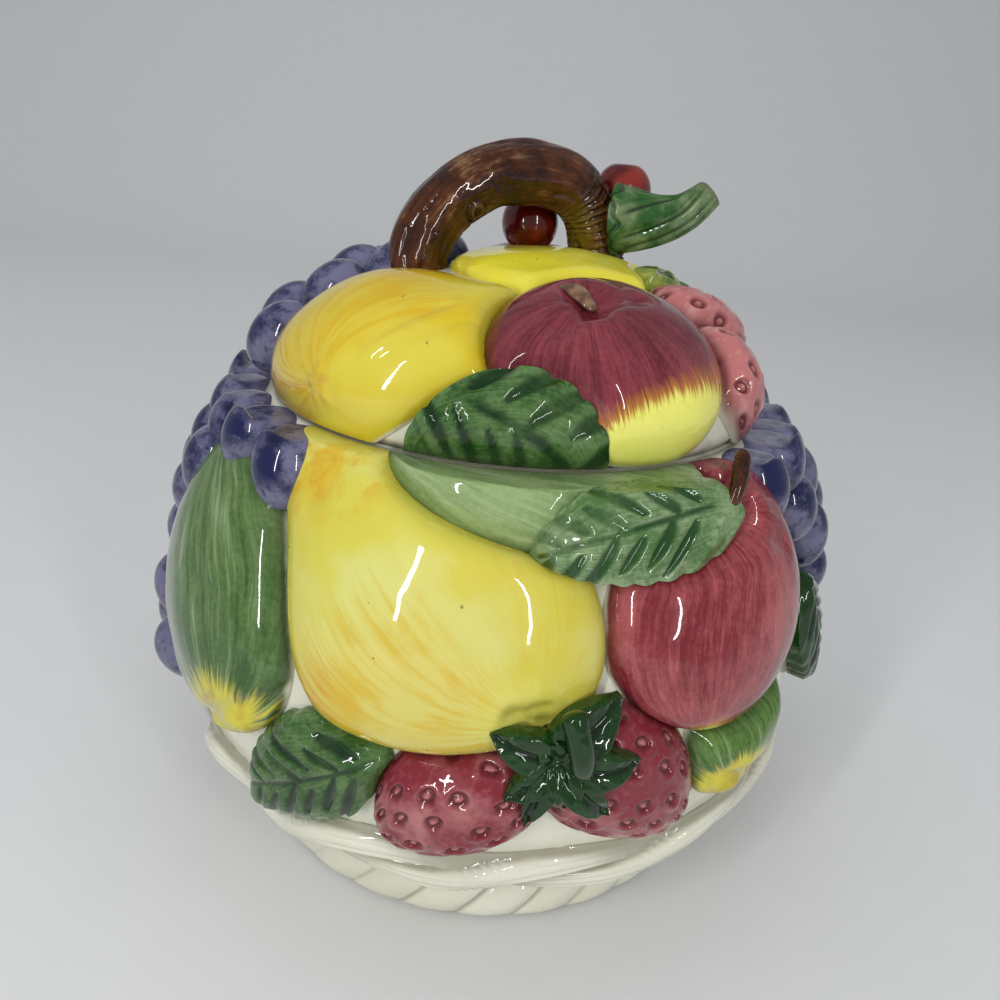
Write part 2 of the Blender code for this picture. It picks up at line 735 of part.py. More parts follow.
JAR_RELIEF = (
    Branch("apple_stem", tuple(APPLE_STEM_SPOT.wrap(u, v, h) for u, v, h in (
        (-4 * MM, -1 * MM, 6 * MM), (6 * MM, 0, 13 * MM), (14 * MM, 1 * MM, 17 * MM), (19 * MM, 0, 19 * MM))),
        (2.6 * MM, 2.8 * MM, 3.2 * MM, 3.8 * MM), BARK_BROWN, steps=2, sides=6),
    Branch("strawberry_stem", tuple(BERRY_STEM_SPOT.wrap(u, v, h) for u, v, h in (
        (-2 * MM, 1 * MM, 9 * MM), (0, 0, 17 * MM), (8 * MM, -2 * MM, 19 * MM), (14 * MM, -5 * MM, 16 * MM))),
        (4.2 * MM, 3.6 * MM, 3.2 * MM, 3.4 * MM), DARK_GREEN, steps=2, sides=6),
    Calyx("strawberry_calyx", Spot(11, -3.5, 0), 23 * MM, 14 * MM, DARK_GREEN),
    Leaf("gourd_leaf", Spot(23, 29.5, -99), 66 * MM, 33 * MM, 11 * MM, 3.5 * MM, LEAF_GREEN),
    Fruit("green_gourd", Spot(4, 35, 90), 104 * MM, 46 * MM, 13 * MM, APPLE_OUTLINE, SQUASH_GREEN),
    Fruit("large_pear", Spot(-14, 19.5, -45), 121 * MM, 99 * MM, 16 * MM, PEAR_OUTLINE, PEAR_YELLOW,
          stations=8),
    Fruit("red_apple", Spot(38, 17, 10), 80 * MM, 87 * MM, 16 * MM, APPLE_OUTLINE, APPLE_RED, across=7),
    Fruit("strawberry_left", Spot(-4.5, -11, -128), 56 * MM, 40 * MM, 12 * MM, BERRY_OUTLINE, BERRY_RED,
          stations=6, across=5),
    Fruit("strawberry_right", Spot(21, -8, 137), 52 * MM, 41 * MM, 12 * MM, BERRY_OUTLINE, BERRY_RED,
          stations=6, across=5),
    GrapeBunch("grape_bunch_left", ((32.5, -43, 6), (23, -70, 3), (13, -79, 2), (3, -83, 2), (-7, -80, 2),
                                    (-16, -74, 2)), GRAPE_BLUE),
    Fruit("green_squash_left", Spot(-48, 8, 160), 86 * MM, 73 * MM, 13 * MM, SQUASH_OUTLINE, SQUASH_GREEN),
    Fruit("green_squash_right", Spot(42, -3, 190), 58 * MM, 50 * MM, 11 * MM, SQUASH_OUTLINE, SQUASH_GREEN,
          stations=6, across=5),
    Leaf("leaf_lower_left", Spot(-27, -13, -124), 64 * MM, 35 * MM, 4 * MM, 4 * MM, LEAF_GREEN),
    Leaf("leaf_right", Spot(67, 1, 150), 52 * MM, 30 * MM, 6 * MM, 4 * MM, DARK_GREEN),
    Leaf("back_leaf_low", Spot(152, -13, 118), 60 * MM, 32 * MM, 5 * MM, 4 * MM, LEAF_GREEN),
    Leaf("back_leaf_high", Spot(-166, 31, 70), 58 * MM, 30 * MM, 9 * MM, 4 * MM, LEAF_GREEN),
    Leaf("side_leaf_right", Spot(109, 27, 28), 56 * MM, 32 * MM, 9 * MM, 4 * MM, LEAF_GREEN),
    Leaf("side_leaf_left", Spot(-112, 27, -16), 58 * MM, 33 * MM, 8 * MM, 4 * MM, LEAF_GREEN),
    Fruit("back_apple", Spot(177, 15, -8), 80 * MM, 88 * MM, 15 * MM, APPLE_OUTLINE, APPLE_RED,
          stations=6),
    Fruit("back_pear", Spot(-137, 12, 18), 112 * MM, 84 * MM, 15 * MM, PEAR_OUTLINE, PEAR_YELLOW,
          across=5),
    Fruit("back_squash", Spot(131, 10, 174), 94 * MM, 76 * MM, 13 * MM, SQUASH_OUTLINE, SQUASH_GREEN,
          stations=6, across=5),
    Fruit("back_strawberry", Spot(-164, -12, 140), 56 * MM, 42 * MM, 12 * MM, BERRY_OUTLINE, BERRY_RED,
          stations=6, across=5),
    Fruit("back_peach", Spot(174, -15, 90), 62 * MM, 50 * MM, 12 * MM, APPLE_OUTLINE, APPLE_RED,
          stations=6, across=5),
    Fruit("side_lemon", Spot(94, -9, 80), 66 * MM, 48 * MM, 12 * MM, LEMON_OUTLINE, LEMON_YELLOW,
          stations=6, across=5),
    Fruit("side_plum", Spot(-106, -4, 8), 64 * MM, 54 * MM, 12 * MM, APPLE_OUTLINE, BERRY_RED,
          stations=6, across=5),
    GrapeBunch("grape_bunch_right", ((34, 52, 5), (24.5, 70, 4), (15, 77, 2), (5.5, 82, 2)), GRAPE_BLUE),
)


# What lies on the lid, from the piece on top to the one underneath


def handle_points():
    """Return the points of the branch from its left foot over the arch to its right foot."""
    left = Vector((*HANDLE_LEFT_FOOT, 0))
    right = Vector((*HANDLE_RIGHT_FOOT, 0))
    places = ((0.0, 0.0), (-0.02, 0.34), (0.08, 0.67), (0.28, 0.92), (0.52, 1.0), (0.76, 0.94),
              (0.92, 0.72), (0.99, 0.40), (1.0, 0.0))
    points = []
    for share, rise in places:
        point = left.lerp(right, share)
        point.z = HANDLE_FOOT + (HANDLE_CREST - HANDLE_FOOT) * rise
        points.append(tuple(point))
    return tuple(points)


def near_right_foot(x, y, z):
    """Return the point at x and y from the handle's right foot and z from its crest."""
    return HANDLE_RIGHT_FOOT[0] + x, HANDLE_RIGHT_FOOT[1] + y, HANDLE_CREST + z


def on_lid_top(x, y, z):
    """Return the point at x and y from the middle between the handle's feet and z over the lid's top."""
    middle_x, middle_y = ((a + b) / 2 for a, b in zip(HANDLE_LEFT_FOOT, HANDLE_RIGHT_FOOT))
    return middle_x + x, middle_y + y, LID_TOP + z


LID_RELIEF = (
    Branch("branch_handle", handle_points(),
           tuple(HANDLE_THICKNESS / 2 * k for k in (1.18, 1.02, 1.0, 1.05, 1.1, 1.06, 1.0, 0.96, 1.05)),
           BARK_BROWN, steps=2, sides=10, ribs=0.35 * MM),
    Branch("handle_shoot", tuple(near_right_foot(x, y, z) for x, y, z in (
        (-3 * MM, -7 * MM, -14 * MM), (11 * MM, -12 * MM, -12 * MM), (24 * MM, -15 * MM, -7 * MM),
        (36 * MM, -16 * MM, 1 * MM))),
        (13 * MM, 11.5 * MM, 8 * MM, 4.5 * MM), LEAF_GREEN, steps=2, sides=8, flatness=0.75),
    Cherry("cherry_middle", on_lid_top(5.5 * MM, 18.5 * MM, 13.5 * MM), CHERRY_RADIUS, CHERRY_RED),
    Cherry("cherry_right", near_right_foot(7.5 * MM, 8 * MM, -5 * MM), CHERRY_RADIUS, CHERRY_RED),
    Leaf("lid_leaf", Spot(0, 40.5, 104), 60 * MM, 35 * MM, 10 * MM, 4 * MM, LEAF_GREEN),
    Leaf("lid_small_leaf", Spot(86, 68, 100), 34 * MM, 20 * MM, 6 * MM, 3 * MM, LEAF_GREEN, stations=8),
    Fruit("lid_pear", Spot(-34, 55, 58), 88 * MM, 72 * MM, 14 * MM, PEAR_OUTLINE, LEMON_YELLOW),
    Fruit("lid_peach", Spot(23, 54, 0), 72 * MM, 74 * MM, 14 * MM, APPLE_OUTLINE, APPLE_RED),
    Fruit("lid_strawberry_low", Spot(57, 47, 165), 40 * MM, 29 * MM, 11 * MM, BERRY_OUTLINE, BERRY_RED,
          stations=6, across=5),
    Fruit("lid_strawberry_high", Spot(72, 58, 140), 40 * MM, 30 * MM, 11 * MM, BERRY_OUTLINE, BERRY_RED,
          stations=6, across=5),
    Fruit("lid_squash", Spot(90, 84, 10), 84 * MM, 54 * MM, 9 * MM, SQUASH_OUTLINE, LEMON_YELLOW,
          stations=6, across=5),
    Fruit("lid_back_apple", Spot(172, 58, 0), 66 * MM, 66 * MM, 12 * MM, APPLE_OUTLINE, APPLE_RED,
          stations=6, across=5),
    Leaf("lid_back_leaf", Spot(124, 50, 150), 56 * MM, 34 * MM, 5 * MM, 4 * MM, LEAF_GREEN),
    GrapeBunch("lid_grape_bunch", ((45, -78, 5), (56, -88, 4), (67, -100, 2)), GRAPE_BLUE, 0.0),
)


def add_frame(name, height, pieces):
    """Add an empty on the jar's axis at a height and hang pieces on it where they are."""
    frame = bpy.data.objects.new(name, None)
    frame.location = (0.0, 0.0, height)
    bpy.context.collection.objects.link(frame)
    bpy.context.view_layer.update()
    for piece in pieces:
        piece.parent = frame
        piece.matrix_parent_inverse = frame.matrix_world.inverted()
    return frame


def add_grapes(item, material, wall, core):
    """Add a bunch of grapes and return it with the room that it needs.

    The room reaches into the wall as far as the solid core, so that it cuts right through a neighbour.
    """
    parts = []
    for name, grow, inner in ((item.name, 0.0, wall), (item.name + "_room", GAP, core)):
        first, *rest = item.grapes(grow)
        part = add_piece(name, first, material)
        combine(part, [add_tool(name + "_grape", grape) for grape in rest], "UNION")
        combine(part, [inner], "DIFFERENCE")
        parts.append(part)
    piece, room = parts
    hide(room)
    return piece, room


def add_relief(items, limits, wall, core):
    """Add the pieces in items, each cut by the wall, by its limit and by all pieces above it.

    The limits are the spaces that a piece keeps out of, for pieces that pass the rim and for the others.
    """
    rooms = []
    for item in items:
        material = glaze(item.name + "_glaze", item.look)
        if isinstance(item, GrapeBunch):
            piece, room = add_grapes(item, material, wall, core)
        else:
            piece = add_piece(item.name, item.solid(), material)
            combine(piece, [wall], "DIFFERENCE")
            room = add_tool(item.name + "_room", item.solid(GAP))
        combine(piece, [limits[item.passes_rim], *rooms], "DIFFERENCE")
        rooms.append(room)
    return rooms


def main():
    """Build the jar and its lid."""
    clear_scene()
    wall = add_tool("wall_room", wall_tool(GAP))
    core = add_tool("wall_core", wall_tool(-GAP * 3))
    add_piece("jar_shell", jar_shell(), glaze("jar_glaze", CREAM))
    add_piece("rope_foot", rope_foot(), glaze("rope_glaze", CREAM))
    lid_path = add_tool("lid_path", disc_tool(RIM_HEIGHT, LID_SWEEP))
    above_rim = add_tool("above_rim", disc_tool(RIM_HEIGHT, BELLY_RADIUS * 2))
    rooms = add_relief(JAR_RELIEF, (above_rim, lid_path), wall, core)
    band = add_piece("plaited_band", plaited_band(), glaze("band_glaze", CREAM))
    combine(band, rooms, "DIFFERENCE")
    add_piece("lid_shell", lid_shell(), glaze("lid_glaze", CREAM))
    below_seat = add_tool("below_seat", jar_space_tool())
    add_relief(LID_RELIEF, (below_seat, below_seat), wall, core)
    for tool in [o for o in bpy.data.objects if o.hide_render]:
        bpy.data.objects.remove(tool, do_unlink=True)
    lid_names = {"lid_shell", *(item.name for item in LID_RELIEF)}
    pieces = list(bpy.data.objects)
    add_frame("jar_frame", 0.0, [o for o in pieces if o.name not in lid_names])
    add_frame("lid_frame", RIM_HEIGHT + GAP, [o for o in pieces if o.name in lid_names])


main()
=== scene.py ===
"""Looks of the ceramic fruit cookie jar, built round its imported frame.

Metres, +Z up, with the origin in the middle of the jar's flat underside. The side with the large
pear faces -Y. Azimuth is measured round the jar from that side towards +X, and elevation up or down
from a point on the jar's axis at CENTRE_HEIGHT.

A moulded fruit starts as a ball, is shaped flat, with u along it, v across it and h out of the wall,
and is then laid on the turned wall of the jar. Each vertex keeps numbers that the glazes read: how far
it is along and round its fruit, how high it stands, and where a vein, a pit or a seed is.
"""

import logging
import math
from dataclasses import dataclass
from enum import Enum

import bpy
import numpy as np
from mathutils import Matrix, Vector, noise


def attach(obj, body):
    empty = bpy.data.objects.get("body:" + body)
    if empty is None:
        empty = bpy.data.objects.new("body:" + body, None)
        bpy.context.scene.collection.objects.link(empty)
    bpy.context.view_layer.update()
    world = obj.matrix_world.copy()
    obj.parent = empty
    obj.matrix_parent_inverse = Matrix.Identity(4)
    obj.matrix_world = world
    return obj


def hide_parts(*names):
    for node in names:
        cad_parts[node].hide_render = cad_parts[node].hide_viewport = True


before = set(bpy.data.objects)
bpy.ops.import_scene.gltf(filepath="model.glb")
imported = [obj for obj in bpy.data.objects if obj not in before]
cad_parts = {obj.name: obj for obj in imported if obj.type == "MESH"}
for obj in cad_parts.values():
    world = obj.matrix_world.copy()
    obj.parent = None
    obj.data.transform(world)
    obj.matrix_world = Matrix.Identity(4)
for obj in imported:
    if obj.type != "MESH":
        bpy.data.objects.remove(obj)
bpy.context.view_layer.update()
log = logging.getLogger("jar")

MM = 0.001
Array = np.ndarray
Piece = bpy.types.Object
Marks = dict[str, Array]
Colour = tuple[float, float, float]
Point = tuple[float, float, float]

# The turned pottery, as in the frame.
GAP = 0.3 * MM
RIM_HEIGHT = 167 * MM
RIM_RADIUS = 86 * MM
BELLY_HEIGHT = 75 * MM
BELLY_RADIUS = 116 * MM
SHOULDER_RADIUS = 90 * MM
ROUNDNESS = 2.2
WALL = 6 * MM
FLOOR = 8 * MM
CENTRE_HEIGHT = 100 * MM
CENTRE = np.array([0.0, 0.0, CENTRE_HEIGHT])
ROPE_HEIGHT = 17 * MM
ROPE_RADIUS = 91.5 * MM
ROPE_WIDTH = 17 * MM
LID_RISE = 42 * MM
LID_FULLNESS = 2.3
LID_WALL = 6 * MM
LID_CLEARANCE = 1.2 * MM
LOCATING_DEPTH = 8 * MM
LOCATING_WALL = 4.5 * MM
LID_SWEEP = 99.5 * MM
HANDLE_HEIGHT = 252 * MM
HANDLE_RADIUS = 11 * MM
FOOTING = 3 * MM
REACH_SAMPLES = 1500

JAR = "jar"
LID = "lid"


def jar_radius(height: Array) -> Array:
    """Give the outer radius of the jar's wall.

    Args:
        height: heights between the rope and the rim.

    Returns:
        The radius at each height.
    """
    height = np.asarray(height, float)
    below = np.clip((BELLY_HEIGHT - height) / (BELLY_HEIGHT - ROPE_HEIGHT), 0, None)
    above = np.clip((height - BELLY_HEIGHT) / (RIM_HEIGHT - BELLY_HEIGHT), 0, None)
    low = BELLY_RADIUS - (BELLY_RADIUS - SHOULDER_RADIUS) * below ** ROUNDNESS
    high = BELLY_RADIUS - (BELLY_RADIUS - RIM_RADIUS) * above ** ROUNDNESS
    return np.where(height < BELLY_HEIGHT, low, high)


def dome(turn: Array, radius: float, rise: float, base: float) -> tuple[Array, Array]:
    """Give the radius and height of points of a flattened dome, where turn is 0 at its edge, 1 on top."""
    angle = np.asarray(turn, float) * math.pi / 2
    return radius * np.cos(angle) ** (2 / LID_FULLNESS), base + rise * np.sin(angle) ** (2 / LID_FULLNESS)


def measure_reach() -> tuple[Array, Array]:
    """Measure the distance from the centre to the pottery at every elevation.

    Returns:
        Elevations in radians and the reach at each.
    """
    heights = np.linspace(ROPE_HEIGHT, RIM_HEIGHT, REACH_SAMPLES)
    dome_radius, dome_height = dome(np.linspace(0, 1, REACH_SAMPLES)[1:], RIM_RADIUS, LID_RISE, RIM_HEIGHT)
    radius = np.concatenate([jar_radius(heights), dome_radius])
    height = np.concatenate([heights, dome_height]) - CENTRE_HEIGHT
    return np.arctan2(height, radius), np.hypot(radius, height)


ELEVATIONS, REACHES = measure_reach()
SEAM_ELEVATION = math.atan2(RIM_HEIGHT - CENTRE_HEIGHT, RIM_RADIUS)


def reach(elevation: Array) -> Array:
    """Give the distance from the centre to the pottery at each elevation in radians."""
    return np.interp(elevation, ELEVATIONS, REACHES)


def smooth(value: Array, low: float, high: float) -> Array:
    """Give 0 below low, 1 above high and an even curve between them."""
    x = np.clip((np.asarray(value, float) - low) / (high - low), 0, 1)
    return x * x * (3 - 2 * x)


def bell(distance: Array, width: float) -> Array:
    """Give 1 at distance 0, falling off over width."""
    return np.exp(-(np.asarray(distance) / width) ** 2)


@dataclass(frozen=True)
class Spot:
    """A place on the wall in degrees, and the way a fruit's u axis points: 0 is up, + is to the right."""

    azimuth: float
    elevation: float
    tilt: float = 0.0

    def axes(self) -> tuple[Array, Array, Array]:
        """Give the directions that the fruit here is shaped in.

        Returns:
            Unit vectors out of the wall, along the fruit and across it.
        """
        azimuth, elevation, tilt = (math.radians(a) for a in (self.azimuth, self.elevation, self.tilt))
        out = np.array([math.cos(elevation) * math.sin(azimuth),
                        -math.cos(elevation) * math.cos(azimuth), math.sin(elevation)])
        right = np.array([math.cos(azimuth), math.sin(azimuth), 0.0])
        up = np.cross(out, right)
        return out, up * math.cos(tilt) + right * math.sin(tilt), right * math.cos(tilt) - up * math.sin(tilt)

    def size(self) -> float:
        """Give the distance from the centre to the wall here."""
        return float(reach(math.radians(self.elevation)))

    def directions(self, u: Array, v: Array) -> Array:
        """Give the direction from the centre through each flat place.

        Args:
            u: distances along the fruit.
            v: distances across it.

        Returns:
            One unit vector to a row.
        """
        out, along, across = self.axes()
        u, v = np.broadcast_arrays(np.asarray(u, float), np.asarray(v, float))
        span = np.maximum(np.hypot(u, v), 1e-9)
        turn = (span / self.size())[..., None]
        sideways = (u[..., None] * along + v[..., None] * across) / span[..., None]
        return out * np.cos(turn) + sideways * np.sin(turn)

    def wrap(self, u: Array, v: Array, h: Array) -> Array:
        """Give the points that lie u along, v across and h out of the wall from this spot."""
        return stand_out(self.directions(u, v), h)

    def unwrap(self, points: Array) -> tuple[Array, Array]:
        """Find the flat places of points, as seen from this spot.

        Args:
            points: points on or over the wall.

        Returns:
            How far along and how far across each one lies.
        """
        out, along, across = self.axes()
        rays = points - CENTRE
        rays = rays / np.linalg.norm(rays, axis=-1, keepdims=True)
        straight = np.clip(rays @ out, -1, 1)
        turn = np.arccos(straight) * self.size()
        x, y = rays @ along, rays @ across
        span = np.maximum(np.hypot(x, y), 1e-9)
        return turn * x / span, turn * y / span

    def point(self) -> Array:
        """Give the point on the wall here."""
        return self.wrap(0.0, 0.0, 0.0)

    def find(self, azimuth: float, elevation: float) -> tuple[Array, Array]:
        """Give the flat place, as seen from here, of a place in degrees."""
        return self.unwrap(Spot(azimuth, elevation).point())


def stand_out(rays: Array, h: Array) -> Array:
    """Give the point of each ray from the centre that stands h out of the wall."""
    elevation = np.arcsin(np.clip(rays[..., 2], -1, 1))
    return CENTRE + rays * (reach(elevation) + h)[..., None]


def from_segment(u: Array, v: Array, start: Array, end: Array) -> Array:
    """Measure how far flat places are from a straight segment.

    Args:
        u: distances along.
        v: distances across.
        start: the segment's first end.
        end: its other end.

    Returns:
        The distance of each place.
    """
    (au, av), (bu, bv) = start, end
    du, dv = bu - au, bv - av
    share = np.clip(((u - au) * du + (v - av) * dv) / max(du * du + dv * dv, 1e-12), 0, 1)
    return np.hypot(u - au - share * du, v - av - share * dv)


def distance_to(loop: Array, u: Array, v: Array) -> Array:
    """Measure the distance of flat places from a closed outline.

    Args:
        loop: the outline's corners, one to a row.
        u: distances along.
        v: distances across.

    Returns:
        The distance of each place, less than 0 inside the outline.
    """
    best = np.full(u.shape, np.inf)
    inside = np.zeros(u.shape, bool)
    for start, end in zip(loop, np.roll(loop, -1, axis=0)):
        best = np.minimum(best, from_segment(u, v, start, end))
        (au, av), (bu, bv) = start, end
        if av != bv:
            crosses = (av > v) != (bv > v)
            inside ^= crosses & (u < (bu - au) * (v - av) / (bv - av) + au)
    return np.where(inside, -best, best)


# Work on meshes


def drop_selection() -> None:
    """Leave nothing selected, so that an operator meets only what is made next."""
    if bpy.context.object and bpy.context.object.mode != "OBJECT":
        bpy.ops.object.mode_set(mode="OBJECT")
    bpy.ops.object.select_all(action="DESELECT")


def places(piece: Piece) -> Array:
    """Read where a piece's vertices are.

    Args:
        piece: the piece.

    Returns:
        One point to a row.
    """
    flat = np.empty(len(piece.data.vertices) * 3)
    piece.data.vertices.foreach_get("co", flat)
    return flat.reshape(-1, 3)


def set_places(piece: Piece, points: Array) -> None:
    """Move a piece's vertices to the given points."""
    piece.data.vertices.foreach_set("co", np.ascontiguousarray(points, float).ravel())
    piece.data.update()


def set_mark(piece: Piece, name: str, values: Array) -> None:
    """Keep a number on each vertex of a piece for its glaze to read."""
    mark = piece.data.attributes.get(name) or piece.data.attributes.new(name, "FLOAT", "POINT")
    mark.data.foreach_set("value", np.ascontiguousarray(values, np.float32))


def face_out(piece: Piece) -> Piece:
    """Close a piece where its ends meet and turn its faces outwards.

    Args:
        piece: the piece.

    Returns:
        The same piece.
    """
    drop_selection()
    bpy.context.view_layer.objects.active = piece
    piece.select_set(True)
    bpy.ops.object.mode_set(mode="EDIT")
    bpy.ops.mesh.select_all(action="SELECT")
    bpy.ops.mesh.remove_doubles(threshold=1e-7)
    bpy.ops.mesh.normals_make_consistent(inside=False)
    bpy.ops.object.mode_set(mode="OBJECT")
    bpy.ops.object.shade_smooth()
    return piece


def model(piece: Piece, points: Array, marks: Marks) -> Piece:
    """Give a primitive its shape.

    Args:
        piece: the primitive.
        points: where its vertices go.
        marks: the numbers that they keep for the glaze.

    Returns:
        The shaped piece.
    """
    set_places(piece, points)
    for name, values in marks.items():
        set_mark(piece, name, values)
    return face_out(piece)


def newest(name: str) -> Piece:
    """Name the primitive that was just added, and give it."""
    bpy.context.object.name = bpy.context.object.data.name = name
    return bpy.context.object


def ball(name: str, segments: int, rings: int) -> tuple[Piece, Array, Array]:
    """Add a ball to be shaped.

    Args:
        name: the piece's name.
        segments: faces round it.
        rings: faces along it, from pole to pole.

    Returns:
        The piece, how far along it each vertex is, from 0 to 1, and how far round, with 0.5 at the crest.
    """
    drop_selection()
    bpy.ops.mesh.primitive_uv_sphere_add(segments=segments, ring_count=rings, radius=1.0)
    piece = newest(name)
    points = places(piece)
    along = np.arccos(np.clip(-points[:, 2], -1, 1)) / math.pi
    around = (np.arctan2(points[:, 1], points[:, 0]) / (2 * math.pi) + 0.25) % 1.0
    return piece, along, around


def join(name: str, parts: list[Piece]) -> Piece:
    """Join parts into one piece.

    Args:
        name: the piece's name.
        parts: what it is made of.

    Returns:
        The piece.
    """
    drop_selection()
    for part in parts:
        part.select_set(True)
    bpy.context.view_layer.objects.active = parts[0]
    bpy.ops.object.join()
    parts[0].name = parts[0].data.name = name
    return parts[0]


def rough(points: Array, octaves: int = 4) -> Array:
    """Give an even random number between about -1 and 1 at each point."""
    return np.array([noise.fractal(Vector(p), 1.0, 2.0, octaves) for p in points])


def keep_below(values: Array, limit: float, rounding: float) -> Array:
    """Round values off so that they stay below a limit."""
    over = values - limit + rounding
    return np.where(over > 0, limit - rounding + rounding * np.tanh(over / rounding), values)


def clear_lid(points: Array) -> Array:
    """Round off under the rim what stands in the way that the lid takes.

    Args:
        points: points of the moulding of the jar.

    Returns:
        The points, brought down where they were in the way.
    """
    points = points.copy()
    radius = np.hypot(points[:, 0], points[:, 1])
    beside = smooth(radius, LID_SWEEP + GAP, LID_SWEEP + 3 * MM)
    low = keep_below(points[:, 2], RIM_HEIGHT - 0.4 * MM, 2.5 * MM)
    points[:, 2] = low + (points[:, 2] - low) * beside
    return points


def stay_outside(points: Array) -> Array:
    """Keep what is sunk in the jar's wall from coming out on its inside.

    Args:
        points: points of a piece on the jar.

    Returns:
        The points, none deeper than the middle of the wall.
    """
    points = points.copy()
    radius = np.hypot(points[:, 0], points[:, 1])
    least = jar_radius(np.clip(points[:, 2], ROPE_HEIGHT, RIM_HEIGHT)) - WALL / 2
    points[:, :2] *= np.maximum(1, least / np.maximum(radius, 1 * MM))[:, None]
    return points


def stay_above(points: Array, depth: float) -> Array:
    """Keep what is sunk in a wall from coming out under it.

    Args:
        points: points of a piece.
        depth: how deep below the outer surface they may go.

    Returns:
        The points, moved out where they were deeper.
    """
    rays = points - CENTRE
    distance = np.linalg.norm(rays, axis=1)
    least = reach(np.arcsin(rays[:, 2] / distance)) - depth
    return CENTRE + rays * np.maximum(1, least / distance)[:, None]


# What a moulded piece is made of

# Round a ball, the share of a turn that shows on each side of the crest, and the share that is underneath.
SEEN = 0.42
UNDER = 0.08

# How a fruit's height falls with its width towards its ends, and the corners on a side of its outline.
FULLNESS = 0.8
OUTLINE_CORNERS = 36


class Cover(Enum):
    """How a piece meets the one that lies over it."""

    ROUND = "rounds down to the wall beside it"
    PRESS = "runs on underneath it"


@dataclass(frozen=True)
class Outline:
    """A fruit's half width along its length, which rises as t**rise and closes as (1-t)**close."""

    rise: float
    close: float
    neck: float = 0.0
    neck_start: float = 0.36
    neck_end: float = 0.86

    def width(self, t: Array) -> Array:
        """Give the half width along the fruit.

        Args:
            t: how far along, from 0 to 1.

        Returns:
            The half width at each t, as a share of the greatest one.
        """
        peak = self.rise / (self.rise + self.close)
        t = np.clip(t, 0, 1)
        share = (t / peak) ** self.rise * ((1 - t) / (1 - peak)) ** self.close
        if self.neck:
            drawn = np.clip((t - self.neck_start) / (self.neck_end - self.neck_start), 0, 1)
            share = share * (1 - (1 - self.neck) * (1 - np.cos(np.pi * drawn)) / 2)
        return share


APPLE_OUTLINE = Outline(0.44, 0.44)
PEAR_OUTLINE = Outline(0.44, 0.3, neck=0.48)
BERRY_OUTLINE = Outline(0.42, 0.62)
LEMON_OUTLINE = Outline(0.56, 0.56)
LEAF_OUTLINE = Outline(0.62, 0.72)


@dataclass(frozen=True)
class Feature:
    """Something round on a fruit, at a place on the jar in degrees."""

    azimuth: float
    elevation: float
    radius: float

    def polar(self, spot: Spot, u: Array, v: Array) -> tuple[Array, Array]:
        """Give how far flat places are from the middle of the feature, in radii, and at which angle."""
        u0, v0 = spot.find(self.azimuth, self.elevation)
        return np.hypot(u - u0, v - v0) / self.radius, np.arctan2(v - v0, u - u0)


@dataclass(frozen=True)
class Dimple(Feature):
    """A hollow in a fruit, with folds that run into it."""

    depth: float
    folds: int = 0
    lip: float = 0.0

    def sink(self, spot: Spot, u: Array, v: Array) -> Array:
        """Press the dimple.

        Args:
            spot: the fruit's spot.
            u: distances along the fruit.
            v: distances across it.

        Returns:
            How far each place goes down.
        """
        away, angle = self.polar(spot, u, v)
        depth = self.depth * bell(away, 1)
        if self.folds:
            ridge = np.cos(self.folds * angle + 1.2 * np.sin(2 * angle)) * bell(away - 0.8, 0.55)
            depth = depth + 0.28 * self.depth * ridge
        return depth - self.lip * bell(away - 1.5, 0.5)


@dataclass(frozen=True)
class Star(Feature):
    """The raised five-pointed remains of a flower."""

    height: float

    def shape(self, spot: Spot, u: Array, v: Array) -> Array:
        """Give 1 on the star and 0 beside it."""
        away, angle = self.polar(spot, u, v)
        return 1 - smooth(away / (0.42 + 0.58 * np.abs(np.cos(2.5 * angle)) ** 2.2), 0.62, 1.05)

    def sink(self, spot: Spot, u: Array, v: Array) -> Array:
        """Give how far the fruit at a spot goes down, which is less than 0 on the star."""
        away, _ = self.polar(spot, u, v)
        return 0.7 * self.height * bell(away, 0.25) - self.height * self.shape(spot, u, v)


@dataclass(frozen=True)
class Crease:
    """A soft fold pressed along a line of (azimuth, elevation) places."""

    places: tuple[tuple[float, float], ...]
    width: float
    depth: float

    def sink(self, spot: Spot, u: Array, v: Array) -> Array:
        """Press the fold.

        Args:
            spot: the fruit's spot.
            u: distances along the fruit.
            v: distances across it.

        Returns:
            How far each place goes down.
        """
        corners = [spot.find(*place) for place in self.places]
        away = [from_segment(u, v, start, end) for start, end in zip(corners, corners[1:])]
        return self.depth * bell(np.min(away, axis=0), self.width)


